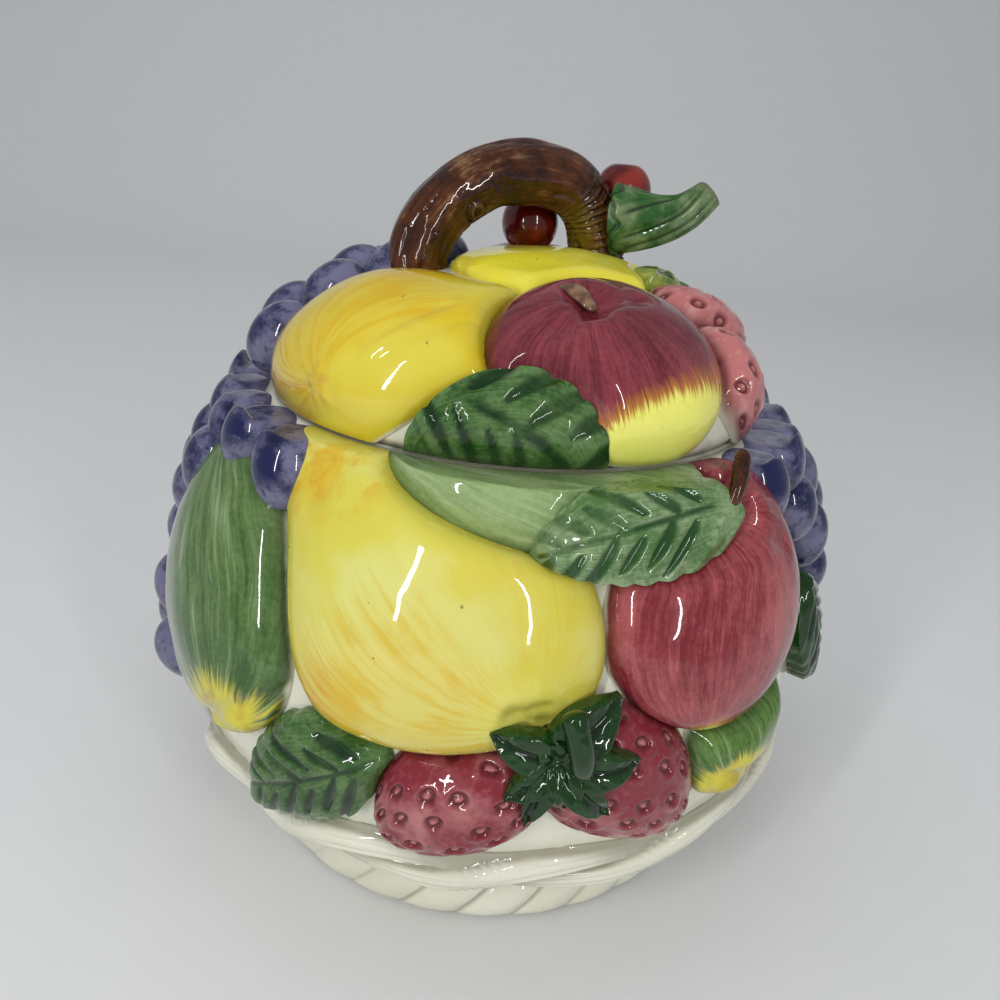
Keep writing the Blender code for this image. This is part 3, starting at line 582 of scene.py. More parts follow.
@dataclass
class Moulding:
    """A piece moulded on the wall: the parts that all of them share.

    Its middle line bows sideways by bend. The brush strokes of its glaze run from its blossom to its stem,
    each an (azimuth, elevation), or from end to end where none is given.
    """

    node: str
    spot: Spot
    length: float
    width: float
    height: float
    outline: Outline
    finish: "Glaze"
    segments: int = 96
    rings: int = 112
    cover: Cover = Cover.ROUND
    dimples: tuple[Dimple | Crease | Star, ...] = ()
    rounding: float = 7 * MM
    crease: float = 0.3
    bend: float = 0.0
    waviness: float = 0.45 * MM
    ripple: float = 0.22
    blossom: tuple[float, float] | None = None
    stem: tuple[float, float] | None = None

    def bow(self, u: Array) -> Array:
        """Give how far the middle line lies to the side at each distance along."""
        return self.bend * (4 * (u / self.length) ** 2 - 1)

    def loop(self) -> Array:
        """Draw the piece's flat outline.

        Returns:
            Its corners, one to a row.
        """
        t = (1 - np.cos(np.linspace(0, np.pi, OUTLINE_CORNERS))) / 2
        half = self.width / 2 * self.outline.width(t)
        u = (t - 0.5) * self.length
        edge = np.stack([u, half], axis=1)
        back = np.stack([u[-2:0:-1], -half[-2:0:-1]], axis=1)
        loop = np.concatenate([edge, back])
        loop[:, 1] += self.bow(loop[:, 0])
        return loop

    def section(self, t: Array, around: Array) -> tuple[Array, ...]:
        """Shape the ball into the fruit.

        Args:
            t: how far along the fruit each vertex is.
            around: how far round it, with 0.5 at the crest.

        Returns:
            Flat places u and v, heights h, and which vertices are on the visible side.
        """
        share = self.outline.width(t)
        side = around - 0.5
        seen = np.abs(side) <= SEEN
        angle = np.clip(side / SEEN, -1, 1) * math.pi / 2
        under = np.clip((np.abs(side) - SEEN) / UNDER, 0, 1)
        half = self.width / 2 * share
        v = np.where(seen, half * np.sin(angle), np.sign(side) * half * (1 - under))
        raised = self.height * share ** FULLNESS * np.cos(angle)
        return (t - 0.5) * self.length, v, np.where(seen, raised, -FOOTING * np.minimum(1, 2 * under)), seen

    def height_over(self, points: Array) -> Array:
        """Give how high the piece's plain shape stands.

        Args:
            points: points of the wall.

        Returns:
            The height over each point, and 0 beside the piece.
        """
        u, v = self.spot.unwrap(points)
        share = self.outline.width(u / self.length + 0.5)
        side = np.clip(np.abs(v - self.bow(u)) / np.maximum(self.width / 2 * share, 1e-6), 0, 1)
        return self.height * share ** FULLNESS * np.sqrt(1 - side ** 2)

    def detail(self, u: Array, v: Array, h: Array, marks: Marks) -> Array:
        """Work the surface of the fruit.

        Args:
            u: distances along it.
            v: distances from its middle line.
            h: heights out of the wall.
            marks: the numbers kept for the glaze, which may be added to.

        Returns:
            The new heights.
        """
        for dimple in self.dimples:
            h = h - dimple.sink(self.spot, u, v + self.bow(u)) * smooth(h, 0, 4 * MM)
            if isinstance(dimple, Star):
                marks["star"] = dimple.shape(self.spot, u, v + self.bow(u))
        grain = np.stack([u, v, np.full_like(u, self.spot.azimuth)], axis=1)
        waves = rough(grain / (26 * MM), 2) + self.ripple * rough(grain / (8 * MM), 2)
        return h + self.waviness * waves * smooth(h, 0, 5 * MM)

    def top(self) -> float:
        """Give the height that a piece underneath keeps below."""
        return self.height

    def settle(self, u: Array, v: Array, h: Array, above: list["Moulding"]) -> Array:
        """Bring the heights down where another piece lies over this one.

        Args:
            u: flat places along it.
            v: flat places across it.
            h: heights out of the wall.
            above: the pieces over this one.

        Returns:
            The new heights.
        """
        points = self.spot.wrap(u, v, np.zeros_like(u))
        for other in above:
            span = (self.length + other.length) / 2 + 15 * MM
            apart = np.linalg.norm(self.spot.point() - other.spot.point())
            if apart > span:
                continue
            ou, ov = other.spot.unwrap(points)
            off = distance_to(other.loop(), ou, ov)
            if other.cover is Cover.ROUND:
                x = np.clip(off / self.rounding, 0, 1)
                ease = self.crease + (1 - self.crease) * np.sqrt(1 - (1 - x) ** 2)
                down = np.maximum(np.minimum(off, 0), -6 * MM)
                h = np.where(h > 0, np.maximum(h * ease + 1.1 * down, -FOOTING), h)
            else:
                limit = other.top() - 1.2 * MM + 1.3 * np.maximum(off, 0)
                soft = 0.6 * MM
                eased = -soft * np.logaddexp(-h / soft, -limit / soft)
                h = np.where(h > 0, np.minimum(h, eased), h)
        return h

    def marks(self, t: Array, around: Array, u: Array, v: Array) -> Marks:
        """Give the numbers that every glaze reads.

        Args:
            t: how far along the fruit each vertex is.
            around: how far round it.
            u: flat places along it.
            v: flat places across it.

        Returns:
            Where it is between blossom and stem, on which stroke, and how far across.
        """
        ends = []
        for place, end in ((self.blossom, -0.5), (self.stem, 0.5)):
            here = (end * self.length, 0.0)
            ends.append(self.spot.find(*place) if place else here)
        (au, av), (bu, bv) = ((end_u - u, end_v - v) for end_u, end_v in ends)
        from_blossom, from_stem = np.hypot(au, av), np.hypot(bu, bv)
        angle = np.arctan2(au * bv - av * bu, au * bu + av * bv)
        return {"along": from_blossom / (from_blossom + from_stem), "brush_x": np.cos(angle),
                "brush_y": np.sin(angle), "across": np.clip((around - 0.5) / SEEN, -1, 1), "length": t}

    def build(self, above: list["Moulding"], seam: "Seam") -> Piece:
        """Model the piece.

        Args:
            above: the pieces that lie over it.
            seam: the side of the lid's seam that it keeps to.

        Returns:
            The finished piece.
        """
        piece, along, around = ball("glazed_" + self.node, self.segments, self.rings)
        t = (1 - np.cos(np.pi * along)) / 2
        u, v, h, seen = self.section(t, around)
        bowed = v + self.bow(u)
        marks = self.marks(t, around, u, bowed)
        h = np.where(seen, self.detail(u, v, h, marks), h)
        h = self.settle(u, bowed, h, above)
        marks["rise"] = np.clip(h / self.height, 0, 1)
        return model(piece, seam.fit(self.spot.directions(u, bowed), h), marks)


@dataclass(frozen=True)
class Seam:
    """The gap between jar and lid, which the moulding of each rounds in to."""

    side: int
    length: float
    edge: float = 1.3 * MM
    rounding: float = 0.8 * MM
    half_gap: float = 0.45 * MM

    def fit(self, rays: Array, h: Array) -> Array:
        """Stand points out of the wall and keep them on their own side of the seam.

        Args:
            rays: directions from the centre.
            h: heights out of the wall.

        Returns:
            The points.
        """
        azimuth = np.arctan2(rays[:, 1], rays[:, 0])
        elevation = np.arcsin(np.clip(rays[:, 2], -1, 1))
        past = self.side * (elevation - SEAM_ELEVATION)
        share = np.clip(-past * math.hypot(RIM_RADIUS, RIM_HEIGHT - CENTRE_HEIGHT) / self.length, 0, 1)
        ease = np.sqrt(1 - (1 - share) ** 2)
        h = np.where(h > self.edge, self.edge + (h - self.edge) * ease, h)
        inside = smooth(past, 0, math.radians(3.0))
        elevation = np.where(past > 0, SEAM_ELEVATION, elevation)
        h = np.where(h > 0, h * (1 - inside) - 2.4 * MM * inside, h)
        rays = np.stack([np.cos(elevation) * np.cos(azimuth), np.cos(elevation) * np.sin(azimuth),
                         np.sin(elevation)], axis=1)
        points = stand_out(rays, h)
        edge = RIM_HEIGHT + GAP / 2
        height = keep_below(self.side * (points[:, 2] - edge), -self.half_gap, self.rounding)
        points[:, 2] = edge + self.side * height
        return points


JAR_SEAM = Seam(1, 9 * MM)
LID_SEAM = Seam(-1, 8 * MM)


class Fruit(Moulding):
    """A plain round fruit."""


@dataclass
class Squash(Moulding):
    """A squash with soft ribs and a puckered knob at its blossom end, which is at t = 0."""

    ribs: int = 9
    rib_depth: float = 0.22 * MM
    knob: float = 8 * MM

    def detail(self, u: Array, v: Array, h: Array, marks: Marks) -> Array:
        """Add the ribs and the knob.

        Args:
            u: distances along it.
            v: distances from its middle line.
            h: heights out of the wall.
            marks: numbers for the glaze.

        Returns:
            The new heights.
        """
        h = super().detail(u, v, h, marks)
        lift = smooth(h, 0, 4 * MM)
        ribs = np.cos(marks["across"] * math.pi / 2 * self.ribs)
        h = h + self.rib_depth * ribs * lift * smooth(marks["length"], 0.05, 0.3)
        if self.knob:
            from_tip = (u + self.length / 2) / self.knob
            waist = bell(from_tip - 1.25, 0.32)
            pucker = np.cos(marks["across"] * math.pi * 3.5)
            h = h - lift * (1.9 * MM * waist - 0.8 * MM * pucker * bell(from_tip - 0.75, 0.5))
        return h


@dataclass
class Berry(Moulding):
    """A strawberry with seeds in ringed pits."""

    pitch: float = 11.0 * MM
    row_pitch: float = 0.86
    pit: float = 2.6 * MM

    def detail(self, u: Array, v: Array, h: Array, marks: Marks) -> Array:
        """Press the pits and raise a seed in each.

        Args:
            u: distances along it.
            v: distances from its middle line.
            h: heights out of the wall.
            marks: numbers for the glaze.

        Returns:
            The new heights.
        """
        h = super().detail(u, v, h, marks)
        angle = marks["across"] * math.pi / 2
        arc = angle * self.width / 2 * 1.1
        lift = smooth(h, 1.0 * MM, 4 * MM)
        pits = np.zeros_like(u)
        seeds = np.zeros_like(u)
        rims = np.zeros_like(u)
        for row in np.arange(-3, 4):
            for column in np.arange(-4, 5):
                stagger = 0.5 * (row % 2)
                jitter = 0.16 * math.sin(12.9 * row + 7.3 * column + self.spot.azimuth)
                pu = (row * self.row_pitch + jitter) * self.pitch
                pa = (column + stagger + 0.14 * math.cos(5.1 * row + 3.7 * column)) * self.pitch
                away = np.hypot((u - pu) * 0.9, arc - pa)
                pits = np.maximum(pits, 1 - smooth(away, self.pit * 0.6, self.pit * 1.15))
                rims = np.maximum(rims, bell(away - self.pit * 1.35, self.pit * 0.35))
                seeds = np.maximum(seeds, 1 - smooth(np.hypot((u - pu) * 0.8, (arc - pa) * 1.1),
                                                     self.pit * 0.22, self.pit * 0.5))
        marks["pit"] = pits * lift
        marks["seed"] = seeds * lift
        return h + lift * (1.0 * MM * seeds - 1.2 * MM * pits + 0.4 * MM * rims)


@dataclass
class Leaf(Moulding):
    """A leaf with a pressed midrib, side veins like pressed slots and a notched edge. Its tip is at t = 1."""

    edge: float = 5 * MM
    crown: float = 3.5 * MM
    veins: int = 6
    sweeps: tuple[float, float] = (0.85, 0.85)
    first: float = 0.3
    reach_out: float = 0.66
    calm: float = 0.0
    press: float = 1.0
    scallop: float = 0.055
    ripple: float = 0.55
    rib: tuple[tuple[float, float], tuple[float, float]] | None = None
    cover: Cover = Cover.PRESS
    waviness: float = 0.5 * MM

    def top(self) -> float:
        """Give the height of the leaf's edge."""
        return self.edge

    def step(self) -> float:
        """Give the distance between side veins along the midrib."""
        return self.length * 0.84 / (self.veins + 0.5)

    def from_rib(self, u: Array, v: Array) -> tuple[Array, Array]:
        """Measure flat places from the midrib.

        Args:
            u: distances along the leaf.
            v: distances from its middle line.

        Returns:
            How far along the midrib each place is, from its foot, and how far beside it.
        """
        if self.rib is None:
            return u + self.length / 2, v
        (au, av), (bu, bv) = (self.spot.find(*end) for end in self.rib)
        span = math.hypot(bu - au, bv - av)
        du, dv = (bu - au) / span, (bv - av) / span
        pu, pv = u - au, v + self.bow(u) - av
        return pu * du + pv * dv, pv * du - pu * dv

    def vein_phase(self, u: Array, v: Array) -> Array:
        """Count the side veins.

        Args:
            u: distances along the leaf.
            v: distances from its middle line.

        Returns:
            The number of the side vein at each place, whole on a vein.
        """
        along, beside = self.from_rib(u, v)
        out = np.abs(beside) / (self.width / 2)
        sweep = self.width / 2 * np.where(beside < 0, *self.sweeps) * (out + 0.25 * out ** 2)
        return (along - sweep) / self.step() + 0.16 * np.sign(beside)

    def section(self, t: Array, around: Array) -> tuple[Array, ...]:
        """Shape the ball into a leaf with an upright edge and a crowned face.

        Args:
            t: how far along the leaf each vertex is.
            around: how far round it, with 0.5 at the crest.

        Returns:
            Flat places u and v, heights h, and which vertices are on the visible side.
        """
        u = (t - 0.5) * self.length
        side = around - 0.5
        seen = np.abs(side) <= SEEN
        sine = np.cos(np.clip(side / SEEN, -1, 1) * math.pi / 2)
        under = np.clip((np.abs(side) - SEEN) / UNDER, 0, 1)
        share = self.outline.width(t)
        phase = self.vein_phase(u, self.width / 2 * share * np.sign(side))
        notch = 1 - np.abs(np.sin(math.pi * phase)) ** 1.3
        half = self.width / 2 * share * (1 - self.scallop * notch)
        face = np.clip((sine - 0.3) / 0.7, 0, 1)
        wide = np.sqrt(1 - face ** 2)
        v = np.sign(side) * np.where(seen, half * wide, half * (1 - under))
        lip = np.clip(sine / 0.3, 0, 1)
        body = np.minimum(1, 4 * share)
        h = self.edge * (1 - (1 - lip) ** 2.5) + self.crown * (1 - wide ** 2.4) * body
        h = h * (0.35 + 0.65 * np.minimum(1, 3 * share))
        return u, v, np.where(seen, h, -FOOTING * np.minimum(1, 2 * under)), seen

    def detail(self, u: Array, v: Array, h: Array, marks: Marks) -> Array:
        """Press the veins and pillow the leaf between them.

        Args:
            u: distances along it.
            v: distances from its middle line.
            h: heights out of the wall.
            marks: numbers for the glaze.

        Returns:
            The new heights.
        """
        h = super().detail(u, v, h, marks)
        lift = smooth(h, self.edge * 0.5, self.edge)
        along, beside = self.from_rib(u, v)
        phase = self.vein_phase(u, v)
        out = np.abs(beside) / (self.width / 2)
        near = np.abs(phase - np.round(phase)) * self.step() * 0.72
        reach_out = self.reach_out + 0.18 * np.sin(4.1 * np.round(phase) + 2 * np.sign(beside))
        start = 0.07 + 0.06 * np.sin(2.7 * np.round(phase))
        slot = np.clip((out - start) / reach_out, 0, 1)
        half = 1.3 * MM * np.clip(np.sin(math.pi * slot), 0, 1) ** 0.7 + 1e-6
        share = along / self.length
        ends = smooth(share, 0.02, 0.1) * (1 - smooth(share, 0.85, 0.98))
        present = smooth(phase, self.first, self.first + 0.6) * (1 - smooth(share, 0.84, 0.93))
        present = present * (half > 0.2 * MM)
        side_vein = (1 - smooth(near, 0.2 * half, 1.6 * half + 0.3 * MM)) * present
        brushed = (1 - smooth(near, 0.3 * half, 2.2 * half + 0.4 * MM)) * present
        rib = bell(beside, 0.9 * MM * self.press) * ends
        within = phase - np.floor(phase)
        pillow = within * (1 - smooth(within, 0.75, 1.0)) * smooth(out, 0.03, 0.3)
        pillow = pillow * (1 - self.calm * smooth(np.abs(marks["across"]), 0.35, 0.75))
        marks["vein"] = np.maximum(brushed, 0.9 * rib) * lift
        marks["edge"] = smooth(np.abs(marks["across"]), 0.35, 0.8)
        slots = self.press * (0.8 * side_vein + 0.85 * rib)
        return h + lift * MM * (0.85 * pillow - slots)


# Shaders


class Wire:
    """A shader's socket that arithmetic works on."""

    def __init__(self, paint: "Paint", socket: bpy.types.NodeSocket) -> None:
        """Wrap a socket of the given paint."""
        self.paint = paint
        self.socket = socket

    def math(self, operation: str, first: "Wire | float", second: "Wire | float") -> "Wire":
        """Add a Math node and give its result."""
        return self.paint.wire("ShaderNodeMath", {"operation": operation}, {0: first, 1: second})

    def __add__(self, other: "Wire | float") -> "Wire":
        """Add."""
        return self.math("ADD", self, other)

    def __radd__(self, other: float) -> "Wire":
        """Add to a number."""
        return self.math("ADD", other, self)

    def __sub__(self, other: "Wire | float") -> "Wire":
        """Subtract."""
        return self.math("SUBTRACT", self, other)

    def __rsub__(self, other: float) -> "Wire":
        """Subtract from a number."""
        return self.math("SUBTRACT", other, self)

    def __mul__(self, other: "Wire | float") -> "Wire":
        """Multiply."""
        return self.math("MULTIPLY", self, other)

    def __rmul__(self, other: float) -> "Wire":
        """Multiply a number."""
        return self.math("MULTIPLY", other, self)


# How every glaze shines: the painted body hardly, the clear coat over it like glass.
GLASS: dict[str, float] = {"IOR": 1.5, "Specular IOR Level": 0.05, "Coat Roughness": 0.035}


class Paint:
    """A material under construction."""

    def __init__(self, name: str) -> None:
        """Start a material with nothing but its output and one shader.

        Args:
            name: the material's name.
        """
        self.material = bpy.data.materials.new(name)
        self.material.use_nodes = True
        self.tree = self.material.node_tree
        self.shader = self.tree.nodes["Principled BSDF"]

    def node(self, kind: str, settings: dict, values: dict) -> bpy.types.ShaderNode:
        """Add a node.

        Args:
            kind: the node's type.
            settings: its settings, which are set first.
            values: a number, colour or wire for each of its sockets.

        Returns:
            The node.
        """
        node = self.tree.nodes.new(kind)
        for key, value in settings.items():
            setattr(node, key, value)
        for key, value in values.items():
            if isinstance(value, Wire):
                self.tree.links.new(value.socket, node.inputs[key])
            else:
                node.inputs[key].default_value = value
        return node

    def wire(self, kind: str, settings: dict, values: dict, output: int | str = 0) -> Wire:
        """Add a node and give one of its results."""
        return Wire(self, self.node(kind, settings, values).outputs[output])

    def mark(self, name: str) -> Wire:
        """Read a number that the piece keeps on its vertices."""
        return self.wire("ShaderNodeAttribute", {"attribute_name": name}, {}, "Fac")

    def place(self) -> Wire:
        """Read the place on the object."""
        return self.wire("ShaderNodeTexCoord", {}, {}, "Object")

    def vector(self, x: Wire, y: Wire, z: Wire) -> Wire:
        """Combine three numbers into a vector."""
        return self.wire("ShaderNodeCombineXYZ", {}, {0: x, 1: y, 2: z})

    def noise(self, at: Wire, scale: float, detail: float, rough: float) -> Wire:
        """Give an even random pattern."""
        values = {"Vector": at, "Scale": scale, "Detail": detail, "Roughness": rough}
        return self.wire("ShaderNodeTexNoise", {}, values)

    def cloud(self, scale: float, detail: float, rough: float = 0.55) -> Wire:
        """Give an even random pattern over the piece."""
        return self.noise(self.place(), scale, detail, rough)

    def patches(self, scale: float, detail: float, low: float, high: float, rough: float = 0.55) -> Wire:
        """Give patches: 0 where the pattern is below low, 1 where it is above high."""
        return self.step(self.cloud(scale, detail, rough), low, high)

    def strokes(self, along: float, across: float, seed: float, detail: float = 3.0) -> Wire:
        """Give brush strokes that run from a fruit's blossom to its stem.

        Args:
            along: how often the strokes change along the fruit.
            across: how many there are round it.
            seed: moves the pattern.
            detail: how fine the bristles are.

        Returns:
            A wire between 0 and 1.
        """
        drift = (self.cloud(24.0, 2.0) - 0.5) * 0.3
        at = self.vector(self.mark("along") * along + seed, (self.mark("brush_x") + drift) * across + seed,
                         (self.mark("brush_y") + drift) * across)
        return self.noise(at, 1.0, detail, 0.6)

    def step(self, value: Wire, low: float, high: float) -> Wire:
        """Give 0 below low, 1 above high and an even curve between them."""
        values = {"Value": value, "From Min": low, "From Max": high}
        return self.wire("ShaderNodeMapRange", {"interpolation_type": "SMOOTHSTEP"}, values)

    def mix(self, share: "Wire | float", first: "Wire | Colour", second: "Wire | Colour",
            blend: str = "MIX") -> Wire:
        """Blend two colours.

        Args:
            share: how much of the second there is.
            first: the colour underneath.
            second: the colour laid over it.
            blend: how it is laid: mixed or multiplied.

        Returns:
            The blended colour.
        """
        ends = [end if isinstance(end, Wire) else (*end, 1.0) for end in (first, second)]
        settings = {"data_type": "RGBA", "blend_type": blend}
        return self.wire("ShaderNodeMix", settings, {0: share, 6: ends[0], 7: ends[1]}, 2)

    def bump(self, height: Wire, distance: float, strength: float) -> None:
        """Give the surface a fine relief."""
        node = self.node("ShaderNodeBump", {}, {"Height": height, "Distance": distance, "Strength": strength})
        self.tree.links.new(node.outputs[0], self.shader.inputs["Normal"])

    def finish(self, colour: Wire, roughness: Wire, coat: float) -> bpy.types.Material:
        """Connect the colour and set how the glaze shines.

        Args:
            colour: the base colour.
            roughness: the roughness of the painted body.
            coat: the weight of the clear glaze over it.

        Returns:
            The finished material.
        """
        self.tree.links.new(colour.socket, self.shader.inputs["Base Color"])
        self.tree.links.new(roughness.socket, self.shader.inputs["Roughness"])
        for name, value in {**GLASS, "Coat Weight": coat}.items():
            self.shader.inputs[name].default_value = value
        return self.material


@dataclass(frozen=True)
class Glaze:
    """A painted glaze: what every finish has. Its slot is a second name for the material."""

    name: str
    slot: str
    coat: float = 0.85
    # Multiplied in low on each piece: pooled glaze and painted shade where it meets the wall.
    pooled_and_shaded_edge: Colour = (0.42, 0.4, 0.36)
    grit: float = 0.5

    def colour(self, paint: Paint) -> Wire:
        """Give the colour over the surface."""
        raise NotImplementedError

    def cream(self, paint: Paint, colour: Wire, high: float) -> Wire:
        """Darken the colour low down with pooled glaze and painted shade; bare cream shows here and there
        where it ends.

        Args:
            paint: the material.
            colour: the colour of the piece.
            high: the share of its height from which the colour covers it.

        Returns:
            The colour with its edge.
        """
        wander = (paint.cloud(42.0, 2.0) - 0.5) * 0.22
        fine = (paint.cloud(160.0, 2.0) - 0.5) * 0.08
        rise = paint.mark("rise") + wander + fine
        # Painted shade: low on the piece the colour is multiplied darker, as in the crevice where it meets
        # the wall.
        edge = (1 - paint.step(rise, high, high + 0.26)) * 0.75
        pooled_and_shaded = paint.mix(edge, colour, self.pooled_and_shaded_edge, "MULTIPLY")
        return paint.mix(paint.step(rise, 0.0, high), CREAM_COLOUR, pooled_and_shaded)

    def relief(self, paint: Paint) -> Wire:
        """Give the fine unevenness of the fired glaze."""
        return paint.cloud(90.0, 2.0)

    def material(self) -> bpy.types.Material:
        """Build the material.

        Returns:
            The material.
        """
        paint = Paint(self.name)
        colour = self.colour(paint)
        roughness = paint.cloud(55.0, 3.0) * 0.2 + 0.16
        paint.bump(self.relief(paint), 0.35 * MM, self.grit)
        return paint.finish(colour, roughness, self.coat)


CREAM_COLOUR: Colour = (0.68, 0.66, 0.52)


@dataclass(frozen=True)
class CreamGlaze(Glaze):
    """The bare ivory glaze, greenish grey in a recess, where glaze pools and painted shade darkens it."""

    # Greenish grey in a recess: pooled glaze and painted shade.
    pooled_and_shaded: Colour = (0.34, 0.33, 0.24)
    # Near black: the painted shadow of the gap between jar and lid.
    seam_shadow: Colour = (0.06, 0.05, 0.035)

    def colour(self, paint: Paint) -> Wire:
        """Give an ivory that wanders a little, the pooled glaze and painted shade in the recesses and the
        seam's painted shadow.

        Args:
            paint: the material.

        Returns:
            The colour.
        """
        cloud = paint.patches(22.0, 4.0, 0.3, 0.72)
        warm = paint.mix(cloud, CREAM_COLOUR, (0.75, 0.74, 0.62))
        brushed = paint.cloud(140.0, 3.0, 0.6) * 0.6 + 0.7
        # Greenish grey in the recesses: pooled glaze and painted shade.
        wash = paint.step(paint.mark("recess") * brushed, 0.15, 0.95)
        washed = paint.mix(wash * 0.85, warm, self.pooled_and_shaded)
        fleck = paint.patches(420.0, 1.0, 0.74, 0.8)
        flecked = paint.mix(fleck * 0.22, washed, (0.42, 0.38, 0.27))
        # Near black at the seam: a painted shadow of the gap between jar and lid.
        return paint.mix(paint.mark("seam") * 0.9, flecked, self.seam_shadow)


@dataclass(frozen=True)
class PearGlaze(Glaze):
    """Pale yellow with golden and orange brush strokes over the lower half."""

    pale: Colour = (0.66, 0.645, 0.19)
    deep: Colour = (0.63, 0.57, 0.075)
    stroke: Colour = (0.62, 0.29, 0.012)
    gold: Colour = (0.63, 0.42, 0.02)
    green: Colour = (0.5, 0.52, 0.07)
    speck: Colour = (0.2, 0.12, 0.03)
    # Lighter pooled glaze and painted shade low on the pear.
    pooled_and_shaded_edge: Colour = (0.92, 0.88, 0.6)
    belt: tuple[float, float, float, float] = (0.06, 0.2, 0.42, 0.6)
    amount: float = 1.0
    neck_blotch: float = 1.0

    def colour(self, paint: Paint) -> Wire:
        """Give the washes and strokes of a pear.

        Args:
            paint: the material.

        Returns:
            The colour.
        """
        cloud = paint.patches(24.0, 3.0, 0.38, 0.62)
        colour = paint.mix(cloud, self.pale, self.deep)
        tint = paint.patches(17.0, 2.0, 0.56, 0.7)
        colour = paint.mix(tint * 0.3, colour, self.green)
        feather = (paint.strokes(1.0, 12.0, 6.0) - 0.5) * 0.45
        along = paint.mark("along") + feather
        start, full, fade, end = self.belt
        belt = paint.step(along, start, full) * (1 - paint.step(along, fade, end))
        patch = paint.patches(22.0, 2.0, 0.4, 0.58)
        wide = paint.strokes(2.4, 7.0, 3.0) * 0.7 + cloud * 0.1 + paint.cloud(70.0, 4.0) * 0.3
        wide = paint.step(wide, 0.44, 0.66)
        belt = belt * (paint.step(paint.mark("brush_y"), 0.25, -0.55) * 0.82 + 0.18)
        colour = paint.mix(belt * (wide * 0.55 + 0.3) * self.amount, colour, self.gold)
        fine = paint.step(paint.strokes(6.0, 24.0, 9.0, 5.0), 0.46, 0.64)
        colour = paint.mix(belt * patch * fine * (self.amount * 0.8), colour, self.stroke)
        neck = paint.step(paint.mark("along"), 0.7, 0.9)
        blotch = paint.patches(55.0, 4.0, 0.42, 0.62, 0.65)
        colour = paint.mix(neck * blotch * (0.85 * self.neck_blotch), colour, self.gold)
        dab = paint.patches(110.0, 4.0, 0.5, 0.64, 0.7)
        colour = paint.mix(neck * blotch * dab * (0.55 * self.neck_blotch), colour, self.stroke)
        side = paint.step(paint.mark("rise"), 0.12, 0.45)
        colour = paint.mix((1 - side) * 0.35, colour, self.green)
        colour = paint.mix(paint.mark("star") * 0.45, colour, self.stroke)
        speck = paint.patches(330.0, 1.0, 0.775, 0.81)
        colour = paint.mix(speck * 0.7, colour, self.speck)
        return self.cream(paint, colour, 0.12)


@dataclass(frozen=True)
class AppleGlaze(Glaze):
    """Rose and maroon strokes from the stem, with a yellow patch round the blossom."""

    deep: Colour = (0.165, 0.014, 0.022)
    rose: Colour = (0.43, 0.1, 0.105)
    yellow: Colour = (0.84, 0.82, 0.17)
    orange: Colour = (0.6, 0.24, 0.025)
    patch: float = 0.085

    def colour(self, paint: Paint) -> Wire:
        """Give the strokes and the yellow patch.

        Args:
            paint: the material.

        Returns:
            The colour.
        """
        fine = paint.strokes(9.0, 22.0, 1.0, 4.0)
        hair = paint.strokes(14.0, 60.0, 3.0, 3.0)
        wide = paint.strokes(2.6, 7.0, 4.0, 2.0)
        cloud = paint.cloud(34.0, 3.0)
        grain = paint.cloud(620.0, 2.0)
        share = fine * 0.22 + hair * 0.08 + wide * 0.26 + cloud * 0.32 + grain * 0.12
        red = paint.mix(paint.step(share, 0.39, 0.63), self.deep, self.rose)
        feather = (paint.strokes(0.6, 30.0, 6.0, 4.0) - 0.5) * 0.17
        line = paint.mark("along") + feather
        edge = 1 - paint.step(line, self.patch - 0.035, self.patch + 0.012)
        fringe = 1 - paint.step(line, self.patch - 0.01, self.patch + 0.075)
        cloudy = paint.patches(60.0, 3.0, 0.45, 0.75)
        speckle = paint.patches(300.0, 2.0, 0.58, 0.72)
        gold = paint.mix(cloudy * 0.5 + speckle * 0.25, self.yellow, (0.62, 0.64, 0.06))
        colour = paint.mix(fringe * 0.65, red, self.orange)
        colour = paint.mix(edge, colour, gold)
        return self.cream(paint, colour, 0.14)


@dataclass(frozen=True)
class SquashGlaze(Glaze):
    """Long green strokes and a yellow blossom end with a feathered edge."""

    deep: Colour = (0.028, 0.085, 0.014)
    light: Colour = (0.15, 0.235, 0.08)
    tip: Colour = (0.6, 0.535, 0.045)
    worn: Colour = (0.36, 0.44, 0.26)
    tip_end: float = 0.17

    def colour(self, paint: Paint) -> Wire:
        """Give the strokes and the tip.

        Args:
            paint: the material.

        Returns:
            The colour.
        """
        fine = paint.strokes(7.0, 20.0, 2.0, 4.0)
        hair = paint.strokes(12.0, 55.0, 5.0, 3.0)
        wide = paint.strokes(2.2, 6.0, 7.0, 2.0)
        wash = paint.cloud(26.0, 3.0)
        grain = paint.cloud(620.0, 2.0)
        share = fine * 0.22 + hair * 0.08 + wide * 0.28 + wash * 0.3 + grain * 0.12
        body = paint.mix(paint.step(share, 0.39, 0.63), self.deep, self.light)
        thin = paint.step(hair * 0.25 + wide * 0.75, 0.54, 0.7)
        body = paint.mix(thin * 0.5, body, self.worn)
        line = paint.mark("along") + (paint.strokes(0.8, 16.0, 5.0, 4.0) - 0.5) * 0.3
        tip = 1 - paint.step(line, self.tip_end - 0.04, self.tip_end + 0.04)
        mottle = paint.mix(paint.patches(130.0, 3.0, 0.45, 0.7), self.tip,
                           (0.45, 0.35, 0.03))
        return self.cream(paint, paint.mix(tip, body, mottle), 0.2)


